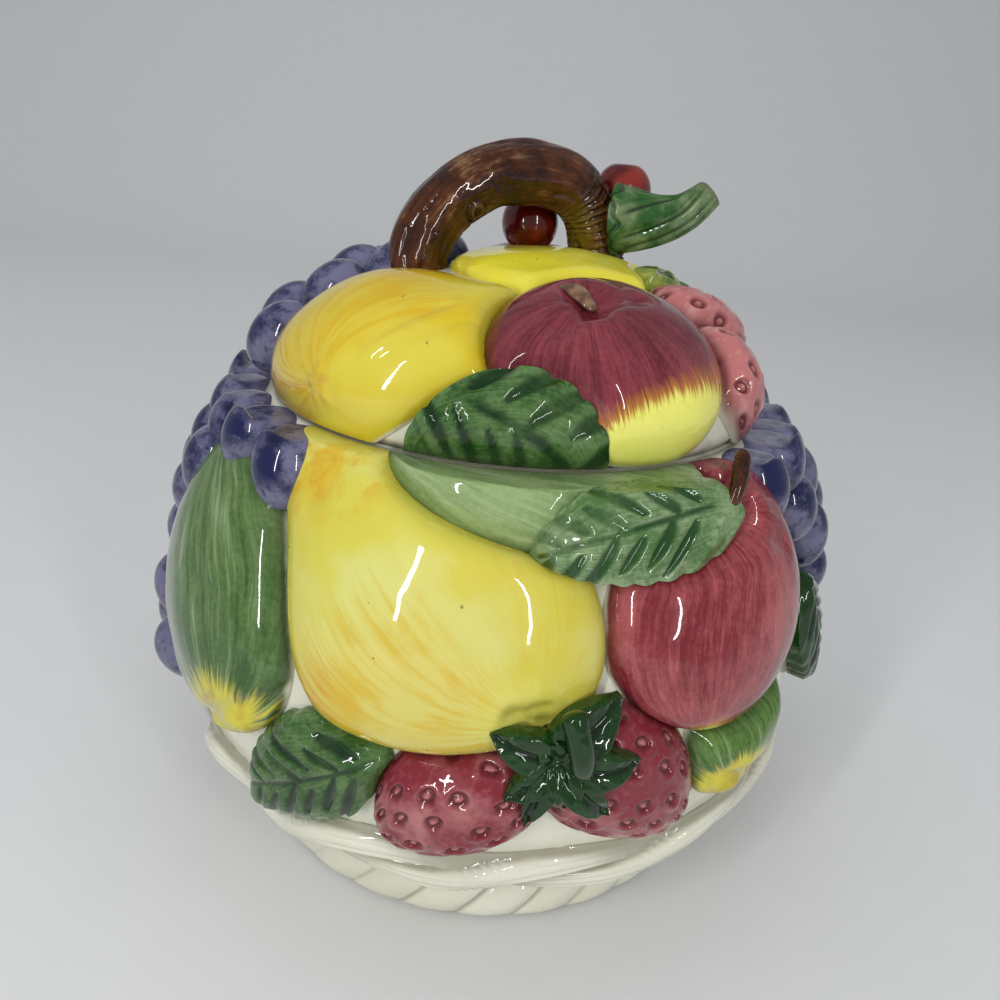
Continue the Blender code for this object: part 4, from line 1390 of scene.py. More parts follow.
@dataclass(frozen=True)
class BerryGlaze(Glaze):
    """Rose red, deeper round each seed, paler at the shoulders."""

    red: Colour = (0.205, 0.018, 0.03)
    pale: Colour = (0.42, 0.15, 0.15)
    pit: Colour = (0.085, 0.003, 0.008)
    seed: Colour = (0.5, 0.17, 0.155)
    bare: float = 0.16

    def colour(self, paint: Paint) -> Wire:
        """Give the red, the pits and the seeds.

        Args:
            paint: the material.

        Returns:
            The colour.
        """
        wash = paint.cloud(48.0, 4.0, 0.6)
        colour = paint.mix(paint.step(wash, 0.46, 0.7), self.red, self.pale)
        fine = paint.cloud(480.0, 2.0)
        colour = paint.mix(paint.step(fine, 0.5, 0.75) * 0.25, colour, self.pale)
        colour = paint.mix(paint.mark("pit") * 0.95, colour, self.pit)
        colour = paint.mix(paint.mark("seed") * 0.9, colour, self.seed)
        return self.cream(paint, colour, self.bare)


@dataclass(frozen=True)
class LeafGlaze(Glaze):
    """Mid green with dark pressed veins and pale brushed edges, which on the calyx's lobe rims are a painted
    highlight.
    """

    green: Colour = (0.016, 0.062, 0.008)
    light: Colour = (0.1, 0.18, 0.06)
    vein: Colour = (0.002, 0.022, 0.003)
    wash: float = 0.5
    # Lighter pooled glaze and painted shade low on the leaf.
    pooled_and_shaded_edge: Colour = (0.8, 0.82, 0.76)

    def colour(self, paint: Paint) -> Wire:
        """Give the greens and the veins.

        Args:
            paint: the material.

        Returns:
            The colour.
        """
        cloud = paint.cloud(70.0, 4.0)
        grain = paint.cloud(700.0, 2.0)
        bristle = paint.strokes(3.0, 40.0, 4.0, 5.0)
        brushed = cloud * 0.5 + grain * 0.2 + bristle * 0.3
        colour = paint.mix(paint.step(brushed, 0.6 - 0.3 * self.wash, 0.78 - 0.2 * self.wash),
                           self.green, self.light)
        # Paler toward the edge: brushed paler on a leaf; on the calyx's raised lobe rims a painted highlight.
        colour = paint.mix(paint.step(paint.mark("edge"), 0.2, 1.0) * paint.step(grain, 0.3, 0.6) * 0.55,
                           colour, self.light)
        worn = paint.patches(48.0, 2.0, 0.34, 0.56) * 0.45 + 0.5
        colour = paint.mix(paint.step(paint.mark("vein"), 0.05, 0.9) * worn, colour, self.vein)
        return self.cream(paint, colour, 0.06)


@dataclass(frozen=True)
class GrapeGlaze(Glaze):
    """Blue violet, greyer and paler where the brush lifted, with a dark eye."""

    blue: Colour = (0.008, 0.011, 0.06)
    pale: Colour = (0.15, 0.145, 0.245)
    dark: Colour = (0.002, 0.002, 0.018)

    def colour(self, paint: Paint) -> Wire:
        """Give the mottled blue, the pale edges and the eye.

        Args:
            paint: the material.

        Returns:
            The colour.
        """
        wash = paint.cloud(95.0, 5.0, 0.7)
        lit = paint.step(wash + paint.mark("edge") * 0.15, 0.46, 0.72)
        colour = paint.mix(lit, self.blue, self.pale)
        dab = paint.patches(150.0, 2.0, 0.6, 0.7)
        colour = paint.mix(dab * 0.6, colour, self.dark)
        return paint.mix(paint.mark("eye") * 0.9, colour, self.dark)


@dataclass(frozen=True)
class BarkGlaze(Glaze):
    """Red brown bark with tan scratches and dark grooves, a tan painted highlight on its ridges, olive inside
    one leg.
    """

    dark: Colour = (0.02, 0.004, 0.001)
    brown: Colour = (0.095, 0.027, 0.006)
    tan: Colour = (0.3, 0.175, 0.085)
    olive: Colour = (0.15, 0.11, 0.004)

    def grain(self, paint: Paint, along: float, across: float, rough: float) -> Wire:
        """Give streaks that run with the branch."""
        ring = (paint.mark("ring_x") * across, paint.mark("ring_y") * across)
        return paint.noise(paint.vector(paint.mark("along") * along, *ring), 1.0, 5.0, rough)

    def colour(self, paint: Paint) -> Wire:
        """Give the bark.

        Args:
            paint: the material.

        Returns:
            The colour.
        """
        streak = self.grain(paint, 14.0, 6.0, 0.62)
        cloud = paint.cloud(52.0, 5.0, 0.7)
        colour = paint.mix(paint.step(streak * 0.3 + cloud * 0.7, 0.4, 0.62), self.dark, self.brown)
        patch = paint.step(cloud * 0.55 + streak * 0.45 + paint.mark("patch") * 0.07, 0.575, 0.7)
        colour = paint.mix(patch * 0.62, colour, self.tan)
        colour = paint.mix(paint.mark("olive") * 0.8, colour, self.olive)
        # Tan on the ridges of the rings and round the knot: a painted highlight.
        colour = paint.mix(paint.mark("ridge") * 0.7, colour, self.tan)
        return paint.mix(paint.mark("groove") * 0.95, colour, self.dark)

    def relief(self, paint: Paint) -> Wire:
        """Give the scratches of the bark."""
        return self.grain(paint, 16.0, 8.0, 0.7)


@dataclass(frozen=True)
class ShootGlaze(Glaze):
    """A green shoot, dark in its grooves and grey at its cut end."""

    green: Colour = (0.022, 0.09, 0.016)
    light: Colour = (0.17, 0.24, 0.11)
    dark: Colour = (0.002, 0.018, 0.003)
    grey: Colour = (0.12, 0.13, 0.07)

    def colour(self, paint: Paint) -> Wire:
        """Give the greens and the grooves.

        Args:
            paint: the material.

        Returns:
            The colour.
        """
        wash = paint.cloud(90.0, 4.0, 0.6)
        colour = paint.mix(paint.step(wash, 0.4, 0.66), self.green, self.light)
        colour = paint.mix(paint.mark("groove") * 0.9, colour, self.dark)
        return paint.mix(paint.step(paint.mark("along"), 0.9, 0.99) * 0.8, colour, self.grey)


@dataclass(frozen=True)
class MottledGlaze(Glaze):
    """One colour that clouds over into another."""

    dark: Colour = (0.0, 0.0, 0.0)
    light: Colour = (1.0, 1.0, 1.0)
    scale: float = 100.0
    span: tuple[float, float] = (0.4, 0.6)

    def colour(self, paint: Paint) -> Wire:
        """Give the clouded colour."""
        return paint.mix(paint.patches(self.scale, 3.0, *self.span), self.dark, self.light)


CREAM = CreamGlaze("cream_glaze", "cream_glaze")
PEAR = PearGlaze("pear_glaze", "pear_glaze")
LEMON = PearGlaze("lemon_glaze", "lemon_glaze", pale=(0.66, 0.57, 0.06), deep=(0.63, 0.47, 0.01),
                  stroke=(0.56, 0.27, 0.006), gold=(0.62, 0.38, 0.006), green=(0.5, 0.46, 0.03),
                  belt=(0.0, 0.1, 0.5, 0.8), neck_blotch=0.35)
BANANA = PearGlaze("yellow_squash_glaze", "lemon_glaze", pale=(0.78, 0.73, 0.085), deep=(0.74, 0.65, 0.035),
                   amount=0.15, green=(0.58, 0.56, 0.06), neck_blotch=0.2)
APPLE = AppleGlaze("apple_glaze", "apple_glaze")
# The plum's glaze is the apples', under the slot of the berries.
PLUM = AppleGlaze("apple_glaze", "berry_glaze")
PEACH = AppleGlaze("peach_glaze", "apple_glaze", deep=(0.09, 0.007, 0.014), rose=(0.255, 0.045, 0.06),
                   patch=0.49)
SQUASH = SquashGlaze("squash_glaze", "squash_glaze")
SMALL_SQUASH = SquashGlaze("small_squash_glaze", "squash_glaze", deep=(0.03, 0.1, 0.012),
                           light=(0.17, 0.28, 0.07), tip_end=0.26)
GOURD = SquashGlaze("gourd_glaze", "squash_glaze", deep=(0.12, 0.215, 0.07), light=(0.3, 0.4, 0.175),
                    worn=(0.46, 0.52, 0.33), tip_end=-0.3)
BERRY = BerryGlaze("berry_glaze", "berry_glaze")
PALE_BERRY = BerryGlaze("pale_berry_glaze", "berry_glaze", red=(0.47, 0.155, 0.152), pale=(0.66, 0.41, 0.38),
                        bare=0.4)
LEAF = LeafGlaze("leaf_glaze", "leaf_glaze", green=(0.02, 0.072, 0.01), light=(0.115, 0.205, 0.068),
                 wash=0.68, coat=0.72)
PALE_LEAF = LeafGlaze("pale_leaf_glaze", "leaf_glaze", green=(0.07, 0.155, 0.042), light=(0.27, 0.36, 0.19),
                      wash=0.55, vein=(0.008, 0.052, 0.007))
YOUNG_LEAF = LeafGlaze("young_leaf_glaze", "leaf_glaze", green=(0.05, 0.13, 0.02), light=(0.36, 0.4, 0.08),
                       wash=0.8)
DARK_LEAF = LeafGlaze("dark_leaf_glaze", "dark_leaf_glaze", green=(0.004, 0.032, 0.003),
                      light=(0.022, 0.078, 0.014), vein=(0.001, 0.01, 0.001), wash=0.35)
GRAPE = GrapeGlaze("grape_glaze", "grape_glaze")
BARK = BarkGlaze("bark_glaze", "bark_glaze", coat=0.75, grit=0.25)
SHOOT = ShootGlaze("shoot_glaze", "leaf_glaze")
CHERRY = MottledGlaze("cherry_glaze", "cherry_glaze", coat=1.0, dark=(0.075, 0.002, 0.001),
                      light=(0.24, 0.02, 0.012), scale=85.0, span=(0.42, 0.68))
STUB = MottledGlaze("stub_glaze", "bark_glaze", dark=(0.11, 0.05, 0.03), light=(0.26, 0.15, 0.085),
                    scale=260.0, span=(0.4, 0.65))


class Workshop:
    """Keeps one material to each finish, and says how each piece belongs to the jar."""

    def __init__(self) -> None:
        """Start with no materials."""
        self.materials: dict[str, bpy.types.Material] = {}

    def add(self, piece: Piece, body: str, glaze: Glaze) -> None:
        """Dress a piece and let it ride on a body.

        Args:
            piece: the finished piece.
            body: the body that it moves with.
            glaze: its finish.
        """
        if glaze.name not in self.materials:
            self.materials[glaze.name] = glaze.material()
        piece.data.materials.clear()
        piece.data.materials.append(self.materials[glaze.name])
        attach(piece, body)
        log.info("%s: %d faces, on %s", piece.name, len(piece.data.polygons), body)

    def place(self, piece: Piece, node: str, body: str, glaze: Glaze) -> None:
        """Dress a piece and let it stand for its CAD node."""
        self.add(piece, body, glaze)
        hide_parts(node)

    def fit(self, body: str, *made: "tuple[Branch | Cherry | GrapeBunch | Calyx, Glaze]") -> None:
        """Model and place pieces that aren't moulded flat, each with its finish."""
        for piece, glaze in made:
            self.place(piece.build(), piece.node, body, glaze)

    def lay(self, moulding: list[Moulding], seam: Seam, body: str) -> None:
        """Model and place moulded pieces, each under the ones before it."""
        for number, piece in enumerate(moulding):
            self.place(piece.build(moulding[:number], seam), piece.node, body, piece.finish)


# The pottery


@dataclass
class Pottery:
    """The turned jar and lid, the rope foot and the plaited band."""

    segments: int = 180
    strands: int = 28
    groove: float = 2.5 * MM
    slant: float = 2.1
    band_bottom: float = 30 * MM
    band_top: float = 55 * MM
    band_thickness: float = 8.0 * MM
    crossings: int = 12
    ribbon: float = 11 * MM
    band_face: float = 0.62

    def turned(self, name: str, profile: list[tuple[float, float]]) -> Piece:
        """Turn a profile by extruding a disc from point to point and closing it.

        Args:
            name: the piece's name.
            profile: (radius, height) points that start and end next to the axis.

        Returns:
            The piece.
        """
        drop_selection()
        (radius, height), *rest = profile
        bpy.ops.mesh.primitive_circle_add(vertices=self.segments, radius=radius, fill_type="NGON",
                                          location=(0, 0, height))
        piece = newest(name)
        bpy.ops.object.transform_apply(location=True)
        bpy.ops.object.mode_set(mode="EDIT")
        bpy.ops.mesh.select_all(action="SELECT")
        for next_radius, next_height in rest:
            bpy.ops.mesh.extrude_region_move(TRANSFORM_OT_translate={"value": (0, 0, next_height - height)})
            scale = next_radius / radius
            bpy.ops.transform.resize(value=(scale, scale, 1), center_override=(0, 0, next_height))
            radius, height = next_radius, next_height
        bpy.ops.object.mode_set(mode="OBJECT")
        face_out(piece)
        bpy.ops.object.shade_smooth_by_angle(angle=math.radians(50))
        return piece

    def jar_shell(self) -> Piece:
        """Model the hollow jar.

        Returns:
            The piece.
        """
        seat = ROPE_HEIGHT + GAP
        foot = ROPE_RADIUS - ROPE_WIDTH - GAP
        inner_foot = foot - WALL
        heights = np.linspace(seat, RIM_HEIGHT - 1.5 * MM, 44)
        outside = list(zip(jar_radius(heights), heights))
        inner = np.linspace(RIM_HEIGHT - 1.5 * MM, seat + WALL, 30)
        inside = list(zip(jar_radius(inner) - WALL, inner))
        rim_edge = RIM_HEIGHT - 0.3 * MM
        rim = [(RIM_RADIUS - 0.6 * MM, rim_edge), (RIM_RADIUS - 1.6 * MM, RIM_HEIGHT),
               (RIM_RADIUS - WALL + 1.6 * MM, RIM_HEIGHT), (RIM_RADIUS - WALL + 0.6 * MM, rim_edge)]
        well = [(inner_foot + 3 * MM, seat + WALL - 1 * MM), (inner_foot, seat + WALL - 5 * MM),
                (inner_foot, FLOOR + 5 * MM), (inner_foot - 2 * MM, FLOOR + 1.5 * MM),
                (inner_foot - 5 * MM, FLOOR)]
        start = [(0.5 * MM, 0.0), (foot - 1 * MM, 0.0), (foot, 1 * MM), (foot, seat)]
        profile = [*start, *outside, *rim, *inside, *well, (0.5 * MM, FLOOR)]
        piece = self.turned("glazed_jar_shell", profile)
        x, y, z = places(piece).T
        # Mark the rim at the seam, which the cream glaze paints near black as the shadow of the gap.
        set_mark(piece, "seam", bell(z - RIM_HEIGHT, 0.8 * MM) * (np.hypot(x, y) > RIM_RADIUS - 1 * MM))
        return piece

    def lid_shell(self) -> Piece:
        """Model the hollow lid.

        Returns:
            The piece.
        """
        seat = RIM_HEIGHT + GAP
        outer_rim = RIM_RADIUS - WALL - LID_CLEARANCE
        inner_rim = outer_rim - LOCATING_WALL
        low = seat - LOCATING_DEPTH
        turns = np.linspace(0, 0.992, 34)
        outside = [(radius, height) for radius, height in zip(*dome(turns, RIM_RADIUS, LID_RISE, seat))
                   if height > seat + 1.6 * MM]
        inside = list(zip(*dome(turns, inner_rim, LID_RISE - LID_WALL, seat)))
        rim = [(inner_rim, low + 1 * MM), (inner_rim + 1 * MM, low), (outer_rim - 1 * MM, low),
               (outer_rim, low + 1 * MM), (outer_rim, seat), (RIM_RADIUS - 2.4 * MM, seat)]
        profile = [(0.5 * MM, seat + LID_RISE - LID_WALL), *reversed(inside), *rim, *outside,
                   (0.5 * MM, seat + LID_RISE)]
        piece = self.turned("glazed_lid_shell", profile)
        x, y, z = places(piece).T
        # Mark the rim at the seam, which the cream glaze paints near black as the shadow of the gap.
        set_mark(piece, "seam", bell(z - seat, 0.8 * MM) * (np.hypot(x, y) > RIM_RADIUS - 3 * MM))
        return piece

    def torus(self, name: str, major: int, minor: int) -> tuple[Piece, Array, Array]:
        """Add a ring to be shaped.

        Args:
            name: the piece's name.
            major: faces round the jar.
            minor: faces round the section.

        Returns:
            The piece, and the angle of each vertex round the jar and round the section.
        """
        drop_selection()
        bpy.ops.mesh.primitive_torus_add(major_segments=major, minor_segments=minor, major_radius=1.0,
                                         minor_radius=0.25)
        piece = newest(name)
        points = places(piece)
        azimuth = np.arctan2(points[:, 1], points[:, 0])
        turn = np.arctan2(points[:, 2], np.hypot(points[:, 0], points[:, 1]) - 1.0)
        return piece, azimuth, turn

    def rope_foot(self) -> Piece:
        """Model the twisted rope that the jar stands on.

        Returns:
            The piece.
        """
        piece, azimuth, turn = self.torus("glazed_rope_foot", self.strands * 18, 44)
        inner = ROPE_RADIUS - ROPE_WIDTH
        middle = ROPE_HEIGHT / 2
        core = ROPE_RADIUS - middle
        outside = np.abs(turn) <= math.pi / 2
        phase = self.strands * azimuth
        azimuth = azimuth + self.slant * turn / self.strands
        wave = np.abs(np.sin(phase / 2)) ** 0.62
        strand = self.groove * (1 - wave) * (0.3 + 0.7 * smooth(np.sin(turn), -0.95, -0.25))
        out = (middle - strand) * np.abs(np.cos(turn)) ** 0.6
        height = middle + (middle - strand * 0.35) * np.sin(turn)
        past = np.clip((np.abs(turn) - math.pi / 2) / (math.pi / 2), 0, 1)
        flat = np.minimum(1, past * 3)
        radius = np.where(outside, core + out, core + (inner - core) * flat)
        down = np.sign(turn) * (1 - np.clip((past - 0.34) / 0.66, 0, 1))
        height = np.where(outside, height, middle + middle * down)
        height = np.clip(height, 0, ROPE_HEIGHT)
        points = np.stack([radius * np.cos(azimuth), radius * np.sin(azimuth), height], axis=1)
        # The grooves between the strands get pooled glaze and painted shade from the cream glaze.
        return model(piece, points, {"recess": bell(np.sin(phase / 2), 0.16) * outside})

    def ribbon_height(self, azimuth: Array, height: Array) -> Array:
        """Give the relief of the band's two ribbons.

        Args:
            azimuth: angles round the jar.
            height: heights on the band.

        Returns:
            How far each place stands out, as a share of the band's thickness.
        """
        middle = (self.band_bottom + self.band_top) / 2
        swing = (self.band_top - self.band_bottom - self.ribbon) / 2
        wave = self.crossings / 2 * azimuth
        relief = np.full(azimuth.shape, 0.1)
        for sign in (1, -1):
            line = middle + sign * swing * np.sin(wave + 0.25 * np.sin(wave * 2))
            over = 0.64 + 0.36 * sign * np.cos(wave)
            off = (height - line) / (self.ribbon / 2)
            body = np.sqrt(np.clip(1 - np.abs(off) ** 4, 0, 1))
            folds = 0.11 * bell(off + 0.3, 0.15) + 0.09 * bell(off - 0.42, 0.15)
            face = 0.85 - 0.15 * off - folds
            relief = np.maximum(relief, over * body * face)
        return relief

    def plaited_band(self) -> Piece:
        """Model the plaited band.

        Returns:
            The piece.
        """
        piece, azimuth, turn = self.torus("glazed_plaited_band", 940, 100)
        round_jar = azimuth + math.pi / 2
        ripple = 1.5 * MM * np.cos(self.crossings * round_jar) + 0.7 * MM * np.sin(7 * round_jar)
        bottom = self.band_bottom + ripple
        top = self.band_top - ripple
        seen = np.abs(turn) <= math.pi * self.band_face
        past = np.clip((np.abs(turn) / math.pi - self.band_face) / (1 - self.band_face), 0, 1)
        behind = np.where((turn > 0) & (past > 0), 1 - past * 0.5, past * 0.5)
        share = np.where(seen, 0.5 + turn / (math.pi * 2 * self.band_face), behind)
        height = bottom + (top - bottom) * share
        edge = np.sqrt(np.clip(np.minimum(share, 1 - share) / 0.05, 0, 1))
        stands = self.ribbon_height(round_jar, height)
        relief = self.band_thickness * stands * edge + GAP
        radius = jar_radius(height) + np.where(seen, relief, -1.5 * MM)
        points = np.stack([radius * np.cos(azimuth), radius * np.sin(azimuth), height], axis=1)
        # The hollows between the ribbons get pooled glaze and painted shade from the cream glaze.
        return model(piece, points, {"recess": (1 - smooth(stands, 0.15, 0.62)) * seen})

    def build(self, shop: Workshop) -> None:
        """Model and dress the pottery.

        Args:
            shop: the workshop that places the pieces.
        """
        shop.place(self.jar_shell(), "jar_shell", JAR, CREAM)
        shop.place(self.rope_foot(), "rope_foot", JAR, CREAM)
        shop.place(self.plaited_band(), "plaited_band", JAR, CREAM)
        shop.place(self.lid_shell(), "lid_shell", LID, CREAM)


# Branches


def smooth_path(knots: Array, count: int) -> Array:
    """Give evenly spaced points of a smooth curve through the given ones.

    Args:
        knots: the points that it passes through.
        count: how many points to give.

    Returns:
        The points, one to a row.
    """
    ends = np.concatenate([knots[:1], knots, knots[-1:]])
    fine = []
    for a, b, c, d in zip(ends, ends[1:], ends[2:], ends[3:]):
        for t in np.linspace(0, 1, 24, endpoint=False):
            fine.append(0.5 * (2 * b + (c - a) * t + (2 * a - 5 * b + 4 * c - d) * t ** 2
                               + (3 * b - a - 3 * c + d) * t ** 3))
    fine = np.array(fine + [knots[-1]])
    travel = np.concatenate([[0], np.cumsum(np.linalg.norm(np.diff(fine, axis=0), axis=1))])
    even = np.linspace(0, travel[-1], count)
    return np.stack([np.interp(even, travel, fine[:, k]) for k in range(3)], axis=1)


def turned_from(angle: Array, middle: float) -> Array:
    """Give how far angles are turned from a middle one, between minus and plus half a turn."""
    return (angle - middle + math.pi) % (2 * math.pi) - math.pi


@dataclass
class Branch:
    """A piece of wood or stem along a path, with rounded ends."""

    node: str
    knots: tuple[Point, ...]
    radii: tuple[float, ...]
    segments: int = 64
    rings: int = 160
    flatness: float = 1.0
    end_round: float = 1.0

    def frame_at(self, count: int) -> tuple[Array, Array, Array, Array]:
        """Follow the path.

        Args:
            count: how many points to take on it.

        Returns:
            The points, the two directions across the path at each, and the distance along it.
        """
        path = smooth_path(np.array(self.knots), count)
        ahead = np.gradient(path, axis=0)
        ahead /= np.linalg.norm(ahead, axis=1, keepdims=True)
        sides = []
        side = np.array([0.0, 0.0, 1.0])
        for direction in ahead:
            side = side - direction * side.dot(direction)
            side = side / np.linalg.norm(side)
            sides.append(side)
        sides = np.array(sides)
        travel = np.concatenate([[0], np.cumsum(np.linalg.norm(np.diff(path, axis=0), axis=1))])
        return path, sides, np.cross(ahead, sides), travel

    def swell(self, along: Array, angle: Array, marks: Marks) -> Array:
        """Give how far the surface stands off the plain radius: nowhere on a plain stem."""
        return np.zeros_like(along)

    def build(self) -> Piece:
        """Model the branch.

        Returns:
            The piece.
        """
        piece, along, around = ball("glazed_" + self.node, self.segments, self.rings)
        path, sides, others, travel = self.frame_at(self.rings + 1)
        index = np.clip(np.round(along * self.rings).astype(int), 0, self.rings)
        angle = around * 2 * math.pi
        radius = np.interp(along, np.linspace(0, 1, len(self.radii)), self.radii)
        marks = {"along": along, "ring_x": np.cos(angle), "ring_y": np.sin(angle),
                 "rise": np.ones_like(along)}
        radius = radius + self.swell(along, angle, marks)
        end = np.minimum(travel[index], travel[-1] - travel[index]) / (self.end_round * 3 * MM)
        radius = radius * np.sqrt(1 - (1 - np.clip(end, 0, 1)) ** 2)
        up, aside = np.cos(angle)[:, None], (np.sin(angle) * self.flatness)[:, None]
        across = sides[index] * up + others[index] * aside
        return model(piece, stay_above(path[index] + across * radius[:, None], LID_WALL / 2), marks)


@dataclass
class Handle(Branch):
    """The arched branch, with bark, a knot at a place along and round it, and grooves down one leg."""

    leg: tuple[float, float] = (0.62, 0.74)
    knot: tuple[float, float] = (0.31, 5.45)
    olive_side: float = 5.9
    grooves: float = 250.0

    def swell(self, along: Array, angle: Array, marks: Marks) -> Array:
        """Add the bark, the knot and the grooves.

        Args:
            along: how far along it each vertex is.
            angle: its angle round it.
            marks: numbers for the glaze.

        Returns:
            How far the surface stands off the plain radius.
        """
        ring = np.stack([along * 9.0, np.cos(angle) * 2.0, np.sin(angle) * 2.0], axis=1)
        bark = rough(ring, 5)
        lumps = rough(ring * 0.5 + 7, 2)
        leg = smooth(along, *self.leg)
        wave = along * self.grooves + 2.6 * np.cos(angle) + 2.2 * rough(ring * 0.8 + 3, 2)
        rings = np.abs(np.sin(wave / 2))
        broken = smooth(rough(ring * 1.6 + 11, 2), -0.5, 0.05)
        inner = bell(turned_from(angle, self.olive_side), 0.8)
        knot = np.hypot((along - self.knot[0]) * 132, turned_from(angle, self.knot[1]) * 9)
        eye = bell(knot - 4.2, 1.0) + bell(knot, 1.4)
        crack = smooth(-bark, 0.3, 0.6)
        groove = (1 - smooth(rings, 0.0, 0.5)) * leg * broken
        marks["groove"] = np.clip(0.8 * groove + eye * 0.8 + crack * 0.6, 0, 1)
        # The ridges of the rings and the rim of the knot, painted tan as a highlight.
        marks["ridge"] = smooth(rings, 0.86, 1.0) * leg * broken * 0.7 + 0.4 * bell(knot - 2.6, 0.7)
        marks["olive"] = leg * inner * 0.9
        marks["patch"] = bell(along - 0.38, 0.17)
        lift = 0.32 * bark + 1.1 * lumps - 0.5 * crack - 0.7 * groove - 0.9 * eye
        return (lift + 0.5 * bell(knot - 2.8, 1.0)) * MM


@dataclass
class Shoot(Branch):
    """The cut green shoot, with uneven flutes that run to its tip and a torn cuff at the branch."""

    flutes: int = 9

    def swell(self, along: Array, angle: Array, marks: Marks) -> Array:
        """Add the flutes and the cuff.

        Args:
            along: how far along it each vertex is.
            angle: its angle round it.
            marks: numbers for the glaze.

        Returns:
            How far the surface stands off the plain radius.
        """
        twist = angle + along * 1.1 + 0.22 * np.sin(2 * angle + 1)
        flute = np.abs(np.sin(self.flutes * twist / 2)) ** 0.7
        second = np.abs(np.sin(self.flutes * twist / 2 + 0.9)) ** 0.8
        deep = smooth(along, 0.1, 0.24) * (1 - 0.6 * smooth(along, 0.75, 1.0))
        torn = 0.075 + 0.035 * np.sin(5 * angle) + 0.02 * np.sin(11 * angle + 2)
        cuff = bell(along - torn, 0.022)
        marks["groove"] = np.clip((1 - smooth(flute, 0.1, 0.6)) * deep + 0.9 * cuff
                                  + 0.5 * (1 - smooth(second, 0.05, 0.3)) * deep, 0, 1)
        return (1.5 * (flute - 0.8) * deep + 0.4 * (second - 0.8) * deep - 1.3 * cuff) * MM


@dataclass
class Cherry:
    """A round cherry with a shallow top."""

    node: str
    centre: Point
    radius: float = 11.2 * MM

    def build(self) -> Piece:
        """Model the cherry.

        Returns:
            The piece.
        """
        piece, along, _ = ball("glazed_" + self.node, 56, 40)
        points = places(piece)
        points[:, 2] -= 0.1 * bell(1 - along, 0.09)
        points[:, :2] *= (1 + 0.03 * np.cos(2 * math.pi * along))[:, None]
        return model(piece, points * self.radius + np.array(self.centre), {})


@dataclass
class GrapeBunch:
    """Rows of grapes pushed into one another."""

    node: str
    rows: tuple[tuple[float, float, int], ...]
    body: str
    centre_height: float = 3 * MM
    grape_width: float = 23 * MM
    grape_length: float = 29 * MM
    spacing: float = 21 * MM
    eye: tuple[float, float] = (0.62, 0.78)
    eye_edge: tuple[float, float] = (0.05, 0.14)
    eye_depth: float = 0.05

    def spots(self) -> list[Spot]:
        """Give the spot of each grape, row by row.

        Returns:
            The spots.
        """
        found = []
        for elevation, first, count in self.rows:
            angle = math.radians(elevation)
            step = math.degrees(self.spacing / (float(reach(angle)) * math.cos(angle)))
            step = math.copysign(step, first)
            for k in range(count):
                lean = 20 * math.sin(2.4 * k + elevation)
                found.append(Spot(first + step * k, elevation + 1.5 * math.sin(1.9 * k), 180 + lean))
        return found

    def grape(self, spot: Spot, number: int) -> Piece:
        """Model one grape, long down the wall, with a dark eye at its low end.

        Args:
            spot: where it sits.
            number: which grape of the bunch it is.

        Returns:
            The grape.
        """
        piece, along, _ = ball(f"{self.node}_{number}", 36, 26)
        x, y, z = places(piece).T
        out, down, across = spot.axes()
        centre = spot.wrap(0.0, 0.0, self.centre_height + 1.2 * MM * math.sin(2.1 * number))
        size = 1 + 0.06 * math.sin(3.3 * number)
        away = np.hypot(x - self.eye[0], np.hypot(y, z - self.eye[1]))
        eye = (1 - smooth(away, *self.eye_edge)) * (number % 3 != 1)
        wide = self.grape_width / 2 * size
        long = self.grape_length / 2 * size
        dent = 1 - self.eye_depth * eye
        taper = 1 - 0.1 * z
        points = centre + (np.outer(x * wide * dent * taper, out) + np.outer(y * wide * taper, across)
                           + np.outer(z * long * dent, down))
        if self.body == JAR:
            points = stay_outside(clear_lid(points))
        else:
            points = stay_above(points, LID_WALL / 2)
            points[:, 2] = -keep_below(-points[:, 2], -RIM_HEIGHT - GAP - 0.4 * MM, 2 * MM)
        return model(piece, points, {"eye": eye, "edge": smooth(np.hypot(y, z), 0.45, 0.95)})

    def build(self) -> Piece:
        """Model the bunch."""
        return join("glazed_" + self.node, [self.grape(spot, k) for k, spot in enumerate(self.spots())])


